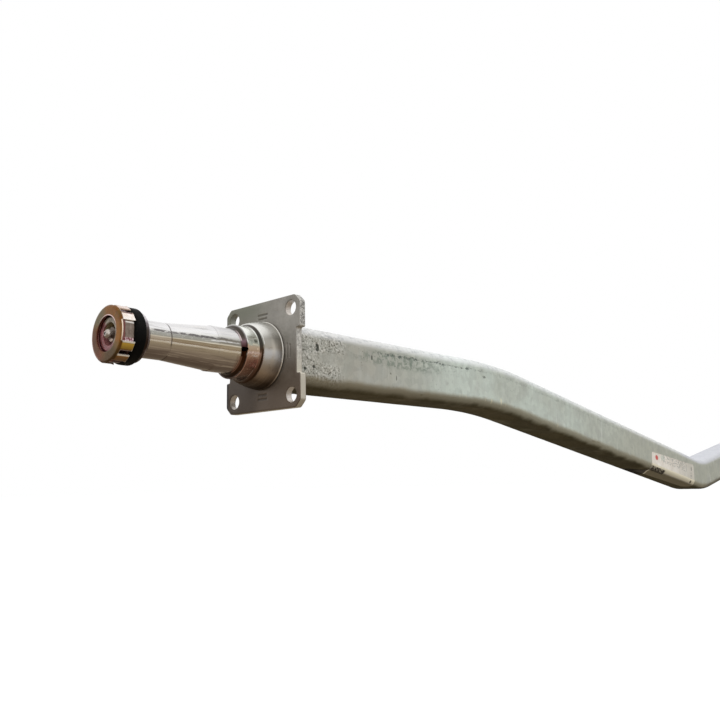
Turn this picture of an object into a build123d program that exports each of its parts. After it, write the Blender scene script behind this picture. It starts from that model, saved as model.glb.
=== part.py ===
from build123d import *
import os
from math import cos, radians, sin

# Boat trailer axle: a square tube with three bends, so that its middle hangs low
# under the hull, with a wheel spindle and a brake flange welded to each end.
# Millimetres and degrees. X runs along the axle, Y fore and aft, Z up.
# The origin is the middle of the axle, on the axis that both spindles share.
# The left end is built in place, at negative X. The right end is the same set of pieces,
# turned half a turn about Z, so that both ends keep right-hand threads.
# Places along a spindle are measured outboard from the flange's outer face.

# Beam
flange_half_span = 990.0
tube_side = 50.8
tube_wall = 4.76
tube_corner_radius = 10.0
straight_end_length = 264.0
bend_angle = 8.75
shoulder_bend_radius = 765.0
keel_bend_radius = 240.0

# Brake flange
flange_side = 88.9
flange_thickness = 6.35
flange_corner_cut = 5.5
flange_corner_blend = 2.5
flange_notch_height = 36.0
flange_notch_depth = 4.0
flange_notch_blend = 1.5
bolt_spacing = 68.6
bolt_hole_diameter = 12.0
flange_bore_clearance = 0.15

# Weld beads that join the flange to the sides of the tube
weld_leg = 5.0
weld_crown = 0.9

# Spindle, from the flange outwards
shank_length = 120.0
shank_clearance = 0.2
shank_chamfer = 3.0
collar_diameter = 54.6
collar_length = 17.7
collar_neck_diameter = 47.8
collar_bulge = 0.6
collar_lip_width = 0.9
collar_lip_relief = 1.2
land_fillet_length = 3.8
seal_land_diameter = 42.6
seal_land_length = 10.2
land_edge_break = 0.3
shoulder_fillet_length = 2.9
inner_seat_diameter = 34.92
inner_seat_length = 19.9
seat_end_chamfer = 0.5
taper_length = 40.0
outer_seat_diameter = 26.98
outer_seat_length = 17.5
seat_groove_width = 1.0
seat_groove_depth = 0.3
thread_diameter = 25.4
thread_chamfer = 1.3
end_setback = 0.7

# Grease passage inside the spindle
end_recess_diameter = 15.4
end_recess_depth = 6.5
end_recess_chamfer = 0.5
grease_bore_diameter = 6.0
grease_hole_diameter = 3.8
grease_hole_angle = -2.0
drill_point_length = 2.0

# Washer, rubber ring and nut, in the order in which they go on
stack_start_gap = 2.5
washer_diameter = 35.8
washer_thickness = 3.5
washer_bore_clearance = 0.4
washer_edge_break = 0.4
ring_diameter = 40.0
ring_width = 8.3
ring_bore_clearance = 0.25
ring_front_radius = 2.6
ring_back_radius = 0.8
nut_flats = 35.0
nut_corner_diameter = 38.0
nut_height = 9.1
nut_bore_clearance = 0.15
nut_chamfer = 1.2

# Pressed steel cup that snaps over the nut and locks it
retainer_wall = 1.0
retainer_clearance = 0.2
retainer_face_gap = 0.3
retainer_hole_diameter = 24.8
retainer_edge_radius = 2.2
retainer_groups = 4
retainer_window_angle = 42.0
retainer_slot_angle = 10.0
retainer_window_depth = 9.0
retainer_slot_depth = 8.8

# Grease fitting in the spindle's end
fitting_thread_diameter = 9.6
fitting_thread_length = 8.0
fitting_thread_clearance = 0.05
fitting_hex_flats = 9.5
fitting_hex_height = 4.6
fitting_hex_chamfer = 0.5
fitting_neck_diameter = 4.6
fitting_neck_length = 0.7
fitting_head_diameter = 6.5
fitting_head_height = 4.1
fitting_tip_diameter = 3.4
fitting_mouth_diameter = 1.8
fitting_mouth_depth = 0.6
fitting_chamber_diameter = 3.0
fitting_chamber_length = 9.0
fitting_outlet_diameter = 1.6

# Check ball and its spring inside the grease fitting
check_ball_diameter = 2.6
spring_wire_diameter = 0.35
spring_coils = 7
spring_radial_clearance = 0.2
spring_end_clearance = 0.03

# Blank label, stuck on the tube's front face and folded round its lower corner
label_length = 185.0
label_thickness = 0.25
label_start_from_keel = 17.0
label_top_above_axis = 6.0
label_under_length = 16.0
label_tilt = 2.8
label_corner_radius = 5.0

# Sizes that follow from the ones above
weld_length = tube_side - 2 * tube_corner_radius
tube_bore = tube_side - 2 * tube_wall
shank_diameter = tube_bore - 2 * shank_clearance
tube_end_x = flange_half_span - flange_thickness
shoulder_start_x = flange_half_span - straight_end_length
shoulder_end_x = shoulder_start_x - shoulder_bend_radius * sin(radians(bend_angle))
keel_start_x = keel_bend_radius * sin(radians(bend_angle))
slope_length = (shoulder_end_x - keel_start_x) / cos(radians(bend_angle))
shoulder_drop = shoulder_bend_radius * (1 - cos(radians(bend_angle)))
land_start = collar_length + land_fillet_length
shoulder_at = land_start + seal_land_length
inner_seat_start = shoulder_at + shoulder_fillet_length
taper_start = inner_seat_start + inner_seat_length
outer_seat_start = taper_start + taper_length
thread_start = outer_seat_start + outer_seat_length
washer_start = thread_start + stack_start_gap
ring_start = washer_start + washer_thickness
nut_start = ring_start + ring_width
nut_end = nut_start + nut_height
spindle_end = nut_end - end_setback
recess_floor = spindle_end - end_recess_depth
fitting_thread_end = recess_floor - fitting_thread_length
hex_end = recess_floor + fitting_hex_height
head_start = hex_end + fitting_neck_length
fitting_tip = head_start + fitting_head_height
mouth_floor = fitting_tip - fitting_mouth_depth
chamber_start = mouth_floor - fitting_chamber_length
check_ball_at = mouth_floor - 0.5 * (check_ball_diameter**2 - fitting_mouth_diameter**2) ** 0.5
retainer_inner_radius = nut_corner_diameter / 2 + retainer_clearance
retainer_outer_radius = retainer_inner_radius + retainer_wall
retainer_inside = nut_end + retainer_face_gap
retainer_front = retainer_inside + retainer_wall
cut_margin = 1.0


def left_x(outboard):
    """X of a place on the left end, measured outboard from the flange's outer face."""
    return -(flange_half_span + outboard)


def turned(points):
    """A solid turned about the X axis from (outboard, radius) points."""
    outline = Polyline([(left_x(u), r) for u, r in points], close=True)
    return revolve(Plane.XZ * make_face(outline), Axis.X)


def rod(start, end, diameter):
    """A round rod on the spindle's axis between two places."""
    plane = Plane((left_x(start), 0, 0), x_dir=(0, 1, 0), z_dir=(-1, 0, 0))
    return extrude(plane * Circle(diameter / 2), end - start)


def prism(start, end, sketch):
    """A prism along the spindle's axis; the sketch's x is Y and its y is Z."""
    plane = Plane((left_x(end), 0, 0), x_dir=(0, 1, 0), z_dir=(1, 0, 0))
    return extrude(plane * sketch, end - start)


def square_outline(side, corner_radius):
    return RectangleRounded(side, side, corner_radius)


def beam_path():
    """Centre line of the tube, from its left end to its right end."""
    with BuildLine(Plane.XZ) as path:
        left = Line((-tube_end_x, 0), (-shoulder_start_x, 0))
        down = JernArc(left @ 1, left % 1, shoulder_bend_radius, -bend_angle)
        fall = Line(down @ 1, down @ 1 + (down % 1) * slope_length)
        keel = JernArc(fall @ 1, fall % 1, keel_bend_radius, 2 * bend_angle)
        rise = Line(keel @ 1, keel @ 1 + (keel % 1) * slope_length)
        level = JernArc(rise @ 1, rise % 1, shoulder_bend_radius, -bend_angle)
        Line(level @ 1, (tube_end_x, 0))
    return path.wires()[0]


def make_beam():
    path = beam_path()
    section = Plane((-tube_end_x, 0, 0), x_dir=(0, 1, 0), z_dir=(1, 0, 0))
    outside = square_outline(tube_side, tube_corner_radius)
    inside = square_outline(tube_bore, tube_corner_radius - tube_wall)
    return sweep(section * (outside - inside), path)


def make_flange():
    """Square plate with cut corners, a notch in each side and four bolt holes."""
    plate = Rectangle(flange_side, flange_side)
    plate = chamfer(plate.vertices(), flange_corner_cut)
    plate = fillet(plate.vertices(), flange_corner_blend)
    notch_reach = flange_side / 2
    notch = Rectangle(2 * flange_notch_depth, flange_notch_height)
    plate -= Pos(notch_reach, 0) * notch
    plate -= Pos(-notch_reach, 0) * notch
    mouths = plate.vertices().filter_by(
        lambda v: abs(abs(v.X) - notch_reach) < 1e-6
        and abs(abs(v.Y) - flange_notch_height / 2) < 1e-6
    )
    plate = fillet(mouths, flange_notch_blend)
    holes = GridLocations(bolt_spacing, bolt_spacing, 2, 2) * Circle(bolt_hole_diameter / 2)
    plate -= holes
    plate -= Circle(shank_diameter / 2 + flange_bore_clearance)
    return prism(-flange_thickness, 0, plate)


def make_flange_weld():
    """One fillet bead on the front side of the tube and one on the back side."""
    back_face = left_x(-flange_thickness)
    wall = tube_side / 2
    foot = (back_face, -wall)
    on_flange = (back_face, -wall - weld_leg)
    on_tube = (back_face + weld_leg, -wall)
    middle = (back_face + weld_leg / 2, -wall - weld_leg / 2)
    crown = (middle[0] + weld_crown / 2, middle[1] - weld_crown / 2)
    outline = Line(foot, on_flange) + ThreePointArc(on_flange, crown, on_tube) + Line(on_tube, foot)
    front = extrude(make_face(outline), weld_length / 2, both=True)
    return front + front.mirror(Plane.XZ)


def make_spindle():
    collar_radius = collar_diameter / 2
    neck_radius = collar_neck_diameter / 2
    land_radius = seal_land_diameter / 2
    inner_radius = inner_seat_diameter / 2
    outer_radius = outer_seat_diameter / 2
    thread_radius = thread_diameter / 2
    shank_radius = shank_diameter / 2
    shank_end = -flange_thickness - shank_length
    lip_end = 2 * collar_lip_width
    groove_bottom = outer_radius - seat_groove_depth
    # Down the shank and out to the collar's lip
    start = [
        (shank_end, 0),
        (shank_end, shank_radius - shank_chamfer),
        (shank_end + shank_chamfer, shank_radius),
        (0, shank_radius),
        (0, collar_radius - collar_lip_relief),
        (collar_lip_width, collar_radius - collar_lip_relief),
        (collar_lip_width, collar_radius),
        (lip_end, collar_radius),
    ]
    bulge = (
        (lip_end + collar_length) / 2,
        (collar_radius + neck_radius) / 2 + collar_bulge,
    )
    # Over the seal land, the seats and the thread to the spindle's end
    collar_end = (collar_length, neck_radius)
    land = [
        (land_start, land_radius),
        (shoulder_at - land_edge_break, land_radius),
        (shoulder_at, land_radius - land_edge_break),
    ]
    seats = [
        (inner_seat_start, inner_radius),
        (taper_start - seat_end_chamfer, inner_radius),
        (taper_start, inner_radius - seat_end_chamfer),
        (outer_seat_start - seat_groove_width, outer_radius),
        (outer_seat_start - seat_groove_width, groove_bottom),
        (outer_seat_start, groove_bottom),
        (outer_seat_start, outer_radius),
        (thread_start - (outer_radius - thread_radius), outer_radius),
        (thread_start, thread_radius),
        (spindle_end - thread_chamfer, thread_radius),
        (spindle_end, thread_radius - thread_chamfer),
        (spindle_end, 0),
    ]
    # Both fillets are hollow: each leaves its cylinder level and climbs to the next step
    land_hollow = (
        land_start - land_fillet_length * cos(radians(45)),
        neck_radius - (neck_radius - land_radius) * sin(radians(45)),
    )
    shoulder_top = land_radius - land_edge_break
    shoulder_hollow = (
        inner_seat_start - shoulder_fillet_length * cos(radians(45)),
        shoulder_top - (shoulder_top - inner_radius) * sin(radians(45)),
    )

    def at(point):
        return (left_x(point[0]), point[1])

    outline = Polyline([at(p) for p in start])
    outline += ThreePointArc(at(start[-1]), at(bulge), at(collar_end))
    outline += ThreePointArc(at(collar_end), at(land_hollow), at(land[0]))
    outline += Polyline([at(p) for p in land])
    outline += ThreePointArc(at(land[-1]), at(shoulder_hollow), at(seats[0]))
    outline += Polyline([at(p) for p in seats])
    outline += Line(at(seats[-1]), at(start[0]))
    spindle = revolve(Plane.XZ * make_face(outline), Axis.X)
    return spindle - grease_passage()


def grease_passage():
    """Recess, tapped hole, long bore and the cross hole that comes out at the shoulder."""
    tapped_radius = fitting_thread_diameter / 2 + fitting_thread_clearance
    recess_radius = end_recess_diameter / 2
    bore_radius = grease_bore_diameter / 2
    tapped_end = recess_floor - fitting_thread_length - drill_point_length
    cross_at = (shoulder_at + inner_seat_start) / 2
    bore_end = cross_at - bore_radius
    along = turned([
        (bore_end - drill_point_length, 0),
        (bore_end, bore_radius),
        (tapped_end, bore_radius),
        (tapped_end, tapped_radius),
        (recess_floor, tapped_radius),
        (recess_floor, recess_radius),
        (spindle_end - end_recess_chamfer, recess_radius),
        (spindle_end, recess_radius + end_recess_chamfer),
        (spindle_end + cut_margin, recess_radius + end_recess_chamfer),
        (spindle_end + cut_margin, 0),
    ])
    outwards = (0, -cos(radians(grease_hole_angle)), sin(radians(grease_hole_angle)))
    across = Plane((left_x(cross_at), 0, 0), x_dir=(1, 0, 0), z_dir=outwards)
    return along + extrude(across * Circle(grease_hole_diameter / 2), collar_neck_diameter / 2)


def make_washer():
    outer = washer_diameter / 2
    bore = thread_diameter / 2 + washer_bore_clearance
    end = washer_start + washer_thickness
    return turned([
        (washer_start, bore),
        (washer_start, outer - washer_edge_break),
        (washer_start + washer_edge_break, outer),
        (end - washer_edge_break, outer),
        (end, outer - washer_edge_break),
        (end, bore),
    ])


def make_rubber_ring():
    bore_diameter = thread_diameter + 2 * ring_bore_clearance
    ring = rod(ring_start, nut_start, ring_diameter)
    edges = ring.edges().filter_by(GeomType.CIRCLE).sort_by(Axis.X)
    ring = fillet(edges[0], ring_front_radius)
    edges = ring.edges().filter_by(GeomType.CIRCLE).sort_by(Axis.X)
    ring = fillet(edges[-1], ring_back_radius)
    return ring - rod(ring_start - cut_margin, nut_start + cut_margin, bore_diameter)


def chamfered_hex(start, end, flats, corner_diameter, depth):
    """A hexagonal prism whose corners are turned off at both ends."""
    hexagon = RegularPolygon(flats / 2, 6, major_radius=False, rotation=30)
    corner = corner_diameter / 2
    turned_off = turned([
        (start, 0),
        (start, corner - depth),
        (start + depth / 2, corner),
        (end - depth / 2, corner),
        (end, corner - depth),
        (end, 0),
    ])
    return prism(start, end, hexagon) & turned_off


def make_nut():
    bore = thread_diameter + 2 * nut_bore_clearance
    body = chamfered_hex(nut_start, nut_end, nut_flats, nut_corner_diameter, nut_chamfer)
    return body - rod(nut_start - cut_margin, nut_end + cut_margin, bore)


def side_opening(depth, angle, direction):
    """A wedge from the axis outwards that cuts an opening from the retainer's back rim."""
    far = 2 * retainer_outer_radius
    corners = [(0, 0)]
    for bearing in (direction - angle / 2, direction, direction + angle / 2):
        corners.append((far * cos(radians(bearing)), far * sin(radians(bearing))))
    return prism(nut_start - cut_margin, nut_start + depth, make_face(Polyline(corners, close=True)))


def make_retainer():
    """A cup with wide windows and narrow slots, all open at its back rim."""
    cup = rod(nut_start, retainer_front, 2 * retainer_outer_radius)
    front_edge = cup.edges().filter_by(GeomType.CIRCLE).sort_by(Axis.X)[0]
    cup = fillet(front_edge, retainer_edge_radius)
    hollow = rod(nut_start - cut_margin, retainer_inside, 2 * retainer_inner_radius)
    hollow_edge = hollow.edges().filter_by(GeomType.CIRCLE).sort_by(Axis.X)[0]
    cup -= fillet(hollow_edge, retainer_edge_radius - retainer_wall)
    cup -= rod(retainer_inside - cut_margin, retainer_front + cut_margin, retainer_hole_diameter)
    step = 360 / retainer_groups
    for number in range(retainer_groups):
        cup -= side_opening(retainer_window_depth, retainer_window_angle, number * step)
        cup -= side_opening(retainer_slot_depth, retainer_slot_angle, (number + 0.5) * step)
    return cup


def make_grease_fitting():
    """Threaded shank, hexagon, neck and ball-shaped head, bored for the check ball."""
    head_radius = fitting_head_diameter / 2
    tip_radius = fitting_tip_diameter / 2
    neck_radius = fitting_neck_diameter / 2
    shank = rod(fitting_thread_end, recess_floor, fitting_thread_diameter)
    corner = fitting_hex_flats / cos(radians(30)) - fitting_hex_chamfer / 2
    hexagon = chamfered_hex(recess_floor, hex_end, fitting_hex_flats, corner, fitting_hex_chamfer)
    neck = rod(hex_end - cut_margin, head_start, fitting_neck_diameter)
    neck_edge = (left_x(head_start), neck_radius)
    middle = (left_x((head_start + fitting_tip) / 2), head_radius)
    tip_edge = (left_x(fitting_tip), tip_radius)
    outline = ThreePointArc(neck_edge, middle, tip_edge)
    outline += Polyline([tip_edge, (left_x(fitting_tip), 0), (left_x(head_start), 0), neck_edge])
    head = revolve(Plane.XZ * make_face(outline), Axis.X)
    body = shank + hexagon + neck + head
    body -= rod(fitting_thread_end - cut_margin, fitting_tip + cut_margin, fitting_outlet_diameter)
    body -= rod(mouth_floor - cut_margin, fitting_tip + cut_margin, fitting_mouth_diameter)
    return body - rod(chamber_start, mouth_floor, fitting_chamber_diameter)


def make_check_ball():
    """The ball that closes the fitting's mouth from inside."""
    return Pos(left_x(check_ball_at), 0, 0) * Sphere(check_ball_diameter / 2)


def make_check_spring():
    """The coil spring between the chamber's floor and the check ball."""
    wire_radius = spring_wire_diameter / 2
    coil_radius = fitting_chamber_diameter / 2 - spring_radial_clearance - wire_radius
    ball_reach = check_ball_diameter / 2 + wire_radius + spring_end_clearance
    front = check_ball_at - (ball_reach**2 - coil_radius**2) ** 0.5
    back = chamber_start + wire_radius + spring_end_clearance
    height = front - back
    coil = Helix(height / spring_coils, height, coil_radius, (left_x(back), 0, 0), (-1, 0, 0))
    section = Plane(coil @ 0, z_dir=coil % 0) * Circle(wire_radius)
    return sweep(section, coil, is_frenet=True)


def make_label():
    """A thin skin on the sloping run left of the keel, cut from a sleeve round the tube."""
    mid_slope_x = -(keel_start_x + (label_start_from_keel + label_length / 2) * cos(radians(bend_angle)))
    fall_from_shoulder = (-mid_slope_x - shoulder_end_x) / cos(radians(bend_angle))
    mid_slope_z = -shoulder_drop + fall_from_shoulder * sin(radians(bend_angle))
    run = Plane(
        (mid_slope_x, 0, mid_slope_z),
        x_dir=(0, 1, 0),
        z_dir=(cos(radians(bend_angle)), 0, -sin(radians(bend_angle))),
    )
    sleeve = square_outline(tube_side + 2 * label_thickness, tube_corner_radius + label_thickness)
    sleeve -= square_outline(tube_side, tube_corner_radius)
    skin = extrude(run * sleeve, label_length, both=True)
    wall = tube_side / 2
    under_edge = -wall + tube_corner_radius + label_under_length
    reach = 2 * tube_side
    height = label_top_above_axis + reach
    front_view = Pos(0, label_top_above_axis - height / 2) * RectangleRounded(
        label_length, height, label_corner_radius
    )
    view = Plane((mid_slope_x, under_edge, mid_slope_z), x_dir=(1, 0, 0), z_dir=(0, -1, 0))
    cutter = extrude(view * Rot(0, 0, label_tilt - bend_angle) * front_view, reach)
    return skin & cutter


def build_parts():
    """Every piece by name; each end's pieces are made once and turned to the other end."""
    end_pieces = {
        "spindle": make_spindle(),
        "brake_flange": make_flange(),
        "flange_weld": make_flange_weld(),
        "spindle_washer": make_washer(),
        "rubber_ring": make_rubber_ring(),
        "spindle_nut": make_nut(),
        "nut_retainer": make_retainer(),
        "grease_fitting": make_grease_fitting(),
        "check_ball": make_check_ball(),
        "check_spring": make_check_spring(),
    }
    parts = {"axle_beam": make_beam(), "centre_label": make_label()}
    for name, piece in end_pieces.items():
        parts["left_" + name] = piece
        parts["right_" + name] = piece.rotate(Axis.Z, 180)
    return parts


os.makedirs("parts", exist_ok=True)
for node, shape in build_parts().items():
    export_step(shape, "parts/" + node + ".step")
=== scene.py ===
from math import acos, ceil, cos, pi, radians, sin, sqrt

import bmesh
import bpy
import numpy as np
from mathutils import Matrix, Vector, noise
from mathutils.geometry import delaunay_2d_cdt


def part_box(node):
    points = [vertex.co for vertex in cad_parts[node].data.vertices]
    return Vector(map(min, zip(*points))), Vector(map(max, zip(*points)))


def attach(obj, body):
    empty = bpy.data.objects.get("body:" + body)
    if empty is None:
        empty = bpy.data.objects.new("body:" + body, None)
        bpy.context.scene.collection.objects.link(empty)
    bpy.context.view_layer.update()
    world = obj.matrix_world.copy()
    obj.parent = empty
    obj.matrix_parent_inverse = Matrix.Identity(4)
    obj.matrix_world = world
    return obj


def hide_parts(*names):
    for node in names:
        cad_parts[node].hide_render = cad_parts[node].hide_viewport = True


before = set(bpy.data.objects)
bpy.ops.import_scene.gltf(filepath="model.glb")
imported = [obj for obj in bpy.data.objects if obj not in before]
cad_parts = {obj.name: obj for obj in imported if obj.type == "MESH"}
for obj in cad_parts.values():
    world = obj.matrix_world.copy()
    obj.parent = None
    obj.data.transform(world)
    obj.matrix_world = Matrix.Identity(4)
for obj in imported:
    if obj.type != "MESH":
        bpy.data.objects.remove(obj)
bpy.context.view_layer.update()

# Sizes are millimetres, read from the frame where it has them. Every piece of an end is made
# in the end's own place: how far outboard of the flange's outer face, then Y, then Z.
MM = 0.001


def box_mm(node):
    low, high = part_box(node)
    return low / MM, high / MM


flange_low, flange_high = box_mm("left_brake_flange")
half_span = -flange_low.x
flange_thickness = flange_high.x - flange_low.x
flange_half = flange_high.z


def reach(node):
    """How far outboard a node of the left end starts and ends, and how high it reaches."""
    low, high = box_mm(node)
    return -high.x - half_span, -low.x - half_span, high.z


shank_start, spindle_end, _ = reach("left_spindle")
washer_start, _, washer_radius = reach("left_spindle_washer")
ring_start, _, ring_radius = reach("left_rubber_ring")
nut_start, nut_end, nut_corner_radius = reach("left_spindle_nut")
cup_back, cup_front, _ = reach("left_nut_retainer")
fitting_back, fitting_tip, _ = reach("left_grease_fitting")
nut_flat = box_mm("left_spindle_nut")[1].y
cup_radius = 20.2
bolt_place, bolt_radius, flange_bore = 34.3, 6.0, 20.6
tube_half = box_mm("axle_beam")[1].y
tube_corner = 10.0
tube_flat = tube_half - tube_corner
tube_wall = 4.76
straight_end = 264.0
bend_angle = radians(8.75)
shoulder_radius = 765.0
keel_radius = 240.0


# Meshes

def linked(name, data):
    """A new object of the scene."""
    thing = bpy.data.objects.new(name, data)
    bpy.context.scene.collection.objects.link(thing)
    return thing


def place(points, end):
    """Moves points of an end from its own place to the frame, in metres."""
    out = np.array(points, float)
    out[:, 0] = -(out[:, 0] + half_span)
    if end == "right":
        out[:, :2] *= -1
    return out * MM


def smooth(mesh, sharp):
    mesh.shade_smooth()
    mesh.set_sharp_from_angle(angle=radians(sharp))


def make_piece(name, node, finish, points, faces, end="", lay=None, sharp=35.0):
    """A piece from points in millimetres, in place of a node's solid. The attribute lay keeps each
    point's own place, which is the point itself if no other is given."""
    points = np.array(points, float)
    lay = points if lay is None else np.array(lay, float)
    side = end + "_" if end else ""
    mesh = bpy.data.meshes.new(side + name)
    mesh.from_pydata((place(points, end) if end else points * MM).tolist(), [], faces)
    attribute = mesh.attributes.new("lay", "FLOAT_VECTOR", "POINT")
    attribute.data.foreach_set("vector", (lay * MM).astype(np.float32).ravel())
    work = bmesh.new()
    work.from_mesh(mesh)
    bmesh.ops.remove_doubles(work, verts=work.verts, dist=1e-7)
    bmesh.ops.recalc_face_normals(work, faces=work.faces)
    work.to_mesh(mesh)
    work.free()
    smooth(mesh, sharp)
    mesh.materials.append(finishes[finish])
    piece = linked(side + name, mesh)
    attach(piece, "root")
    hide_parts(side + node)
    return piece


def apply_modifiers(piece, sharp):
    """Keeps what the modifiers make as the piece's own mesh."""
    bpy.context.view_layer.update()
    made = bpy.data.meshes.new_from_object(piece.evaluated_get(bpy.context.evaluated_depsgraph_get()))
    piece.modifiers.clear()
    piece.data = made
    smooth(made, sharp)


def soften(points, radius, steps=4, closed=False):
    """Rounds the corners of an outline; a corner takes at most 0.45 of its shorter side."""
    points = [Vector(p) for p in points]
    count = len(points)
    out = []
    for i, corner in enumerate(points):
        before = points[i - 1] - corner
        after = points[(i + 1) % count] - corner
        at_end = not closed and i in (0, count - 1)
        if at_end or min(before.length, after.length) < 1e-6 or before.angle(after) > radians(172):
            out.append(corner)
            continue
        cut = min(radius, 0.45 * before.length, 0.45 * after.length)
        start = corner + before.normalized() * cut
        stop = corner + after.normalized() * cut
        for k in range(steps + 1):
            t = k / steps
            out.append(start * (1 - t) ** 2 + corner * 2 * t * (1 - t) + stop * t * t)
    return out


def refine(points, longest, closed=False):
    """Splits long sides of an outline."""
    out = []
    count = len(points)
    for i in range(count if closed else count - 1):
        a, b = Vector(points[i]), Vector(points[(i + 1) % count])
        parts = max(1, ceil((b - a).length / longest))
        out += [a.lerp(b, k / parts) for k in range(parts)]
    return out if closed else out + [Vector(points[-1])]


def quarter_round(steps, first=0):
    """Cosine and sine over a quarter turn, in equal steps."""
    return [(cos(pi / 2 * k / steps), sin(pi / 2 * k / steps)) for k in range(first, steps + 1)]


def revolved(profile, segments, closed=False, radius=None):
    """Points and faces of a turned shape. Angle 0 looks to -Y and a quarter turn to +Z.
    radius(outboard, r, angle) may change the radius, as a thread or a hexagon does."""
    points, faces, rings = [], [], []
    for outboard, r in profile:
        if r < 1e-6:
            rings.append([len(points)] * segments)
            points.append((outboard, 0, 0))
            continue
        rings.append(list(range(len(points), len(points) + segments)))
        for j in range(segments):
            angle = 2 * pi * j / segments
            here = radius(outboard, r, angle) if radius else r
            points.append((outboard, -here * cos(angle), here * sin(angle)))
    for one, two in zip(rings, rings[1:] + (rings[:1] if closed else [])):
        for j in range(segments):
            k = (j + 1) % segments
            corners = [one[j], one[k], two[k], two[j]]
            face = [v for n, v in enumerate(corners) if v not in corners[:n]]
            if len(face) > 2:
                faces.append(face)
    return points, faces


def hexagon_radius(flat, r, angle):
    """Cuts a radius back to a hexagon's flats."""
    turn = (angle + pi / 6) % (pi / 3) - pi / 6
    return min(r, flat / cos(turn))


def loop_bridge(one, two):
    count = len(one)
    return [[one[i], one[(i + 1) % count], two[(i + 1) % count], two[i]] for i in range(count)]


# Finishes

def srgb(*colour):
    """A colour as a picture holds it, 0 to 255, in Blender's linear light."""
    parts = [value / 255 for value in colour]
    return (*(v / 12.92 if v < 0.04045 else ((v + 0.055) / 1.055) ** 2.4 for v in parts), 1.0)


GROUND_CARD = srgb(172, 158, 138)
# Below this height on a turned piece, polished steel looks down on the ground card
GROUND_LEVEL = -0.04


def seen_at(level, *colour):
    """What to write for polished steel at a level from -1 to 1, so that it is seen as given."""
    seen = srgb(*colour)
    if level > GROUND_LEVEL:
        return seen
    return (*(min(1.0, part / card) for part, card in zip(seen[:3], GROUND_CARD)), 1.0)


def linear(colour):
    """Three numbers are a colour from 0 to 255; anything else stays as it is."""
    return srgb(*colour) if isinstance(colour, tuple) and len(colour) == 3 else colour


class Nodes:
    """A node tree, with a short way to add a node and to fill or link its sockets."""

    def __init__(self, owner):
        owner.use_nodes = True
        self.tree = owner.node_tree
        self.tree.nodes.clear()

    def add(self, kind, sockets, **settings):
        node = self.tree.nodes.new("ShaderNode" + kind)
        for key, value in settings.items():
            setattr(node, key, value)
        for key, value in sockets.items():
            if isinstance(value, bpy.types.NodeSocket):
                self.tree.links.new(value, node.inputs[key])
            else:
                node.inputs[key].default_value = value
        return node

    def out(self, kind, sockets, **settings):
        return self.add(kind, sockets, **settings).outputs[0]

    def math(self, operation, a, b=0.0):
        return self.out("Math", {0: a, 1: b}, operation=operation)

    def most(self, *values):
        out = values[0]
        for value in values[1:]:
            out = self.math("MAXIMUM", out, value)
        return out


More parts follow.
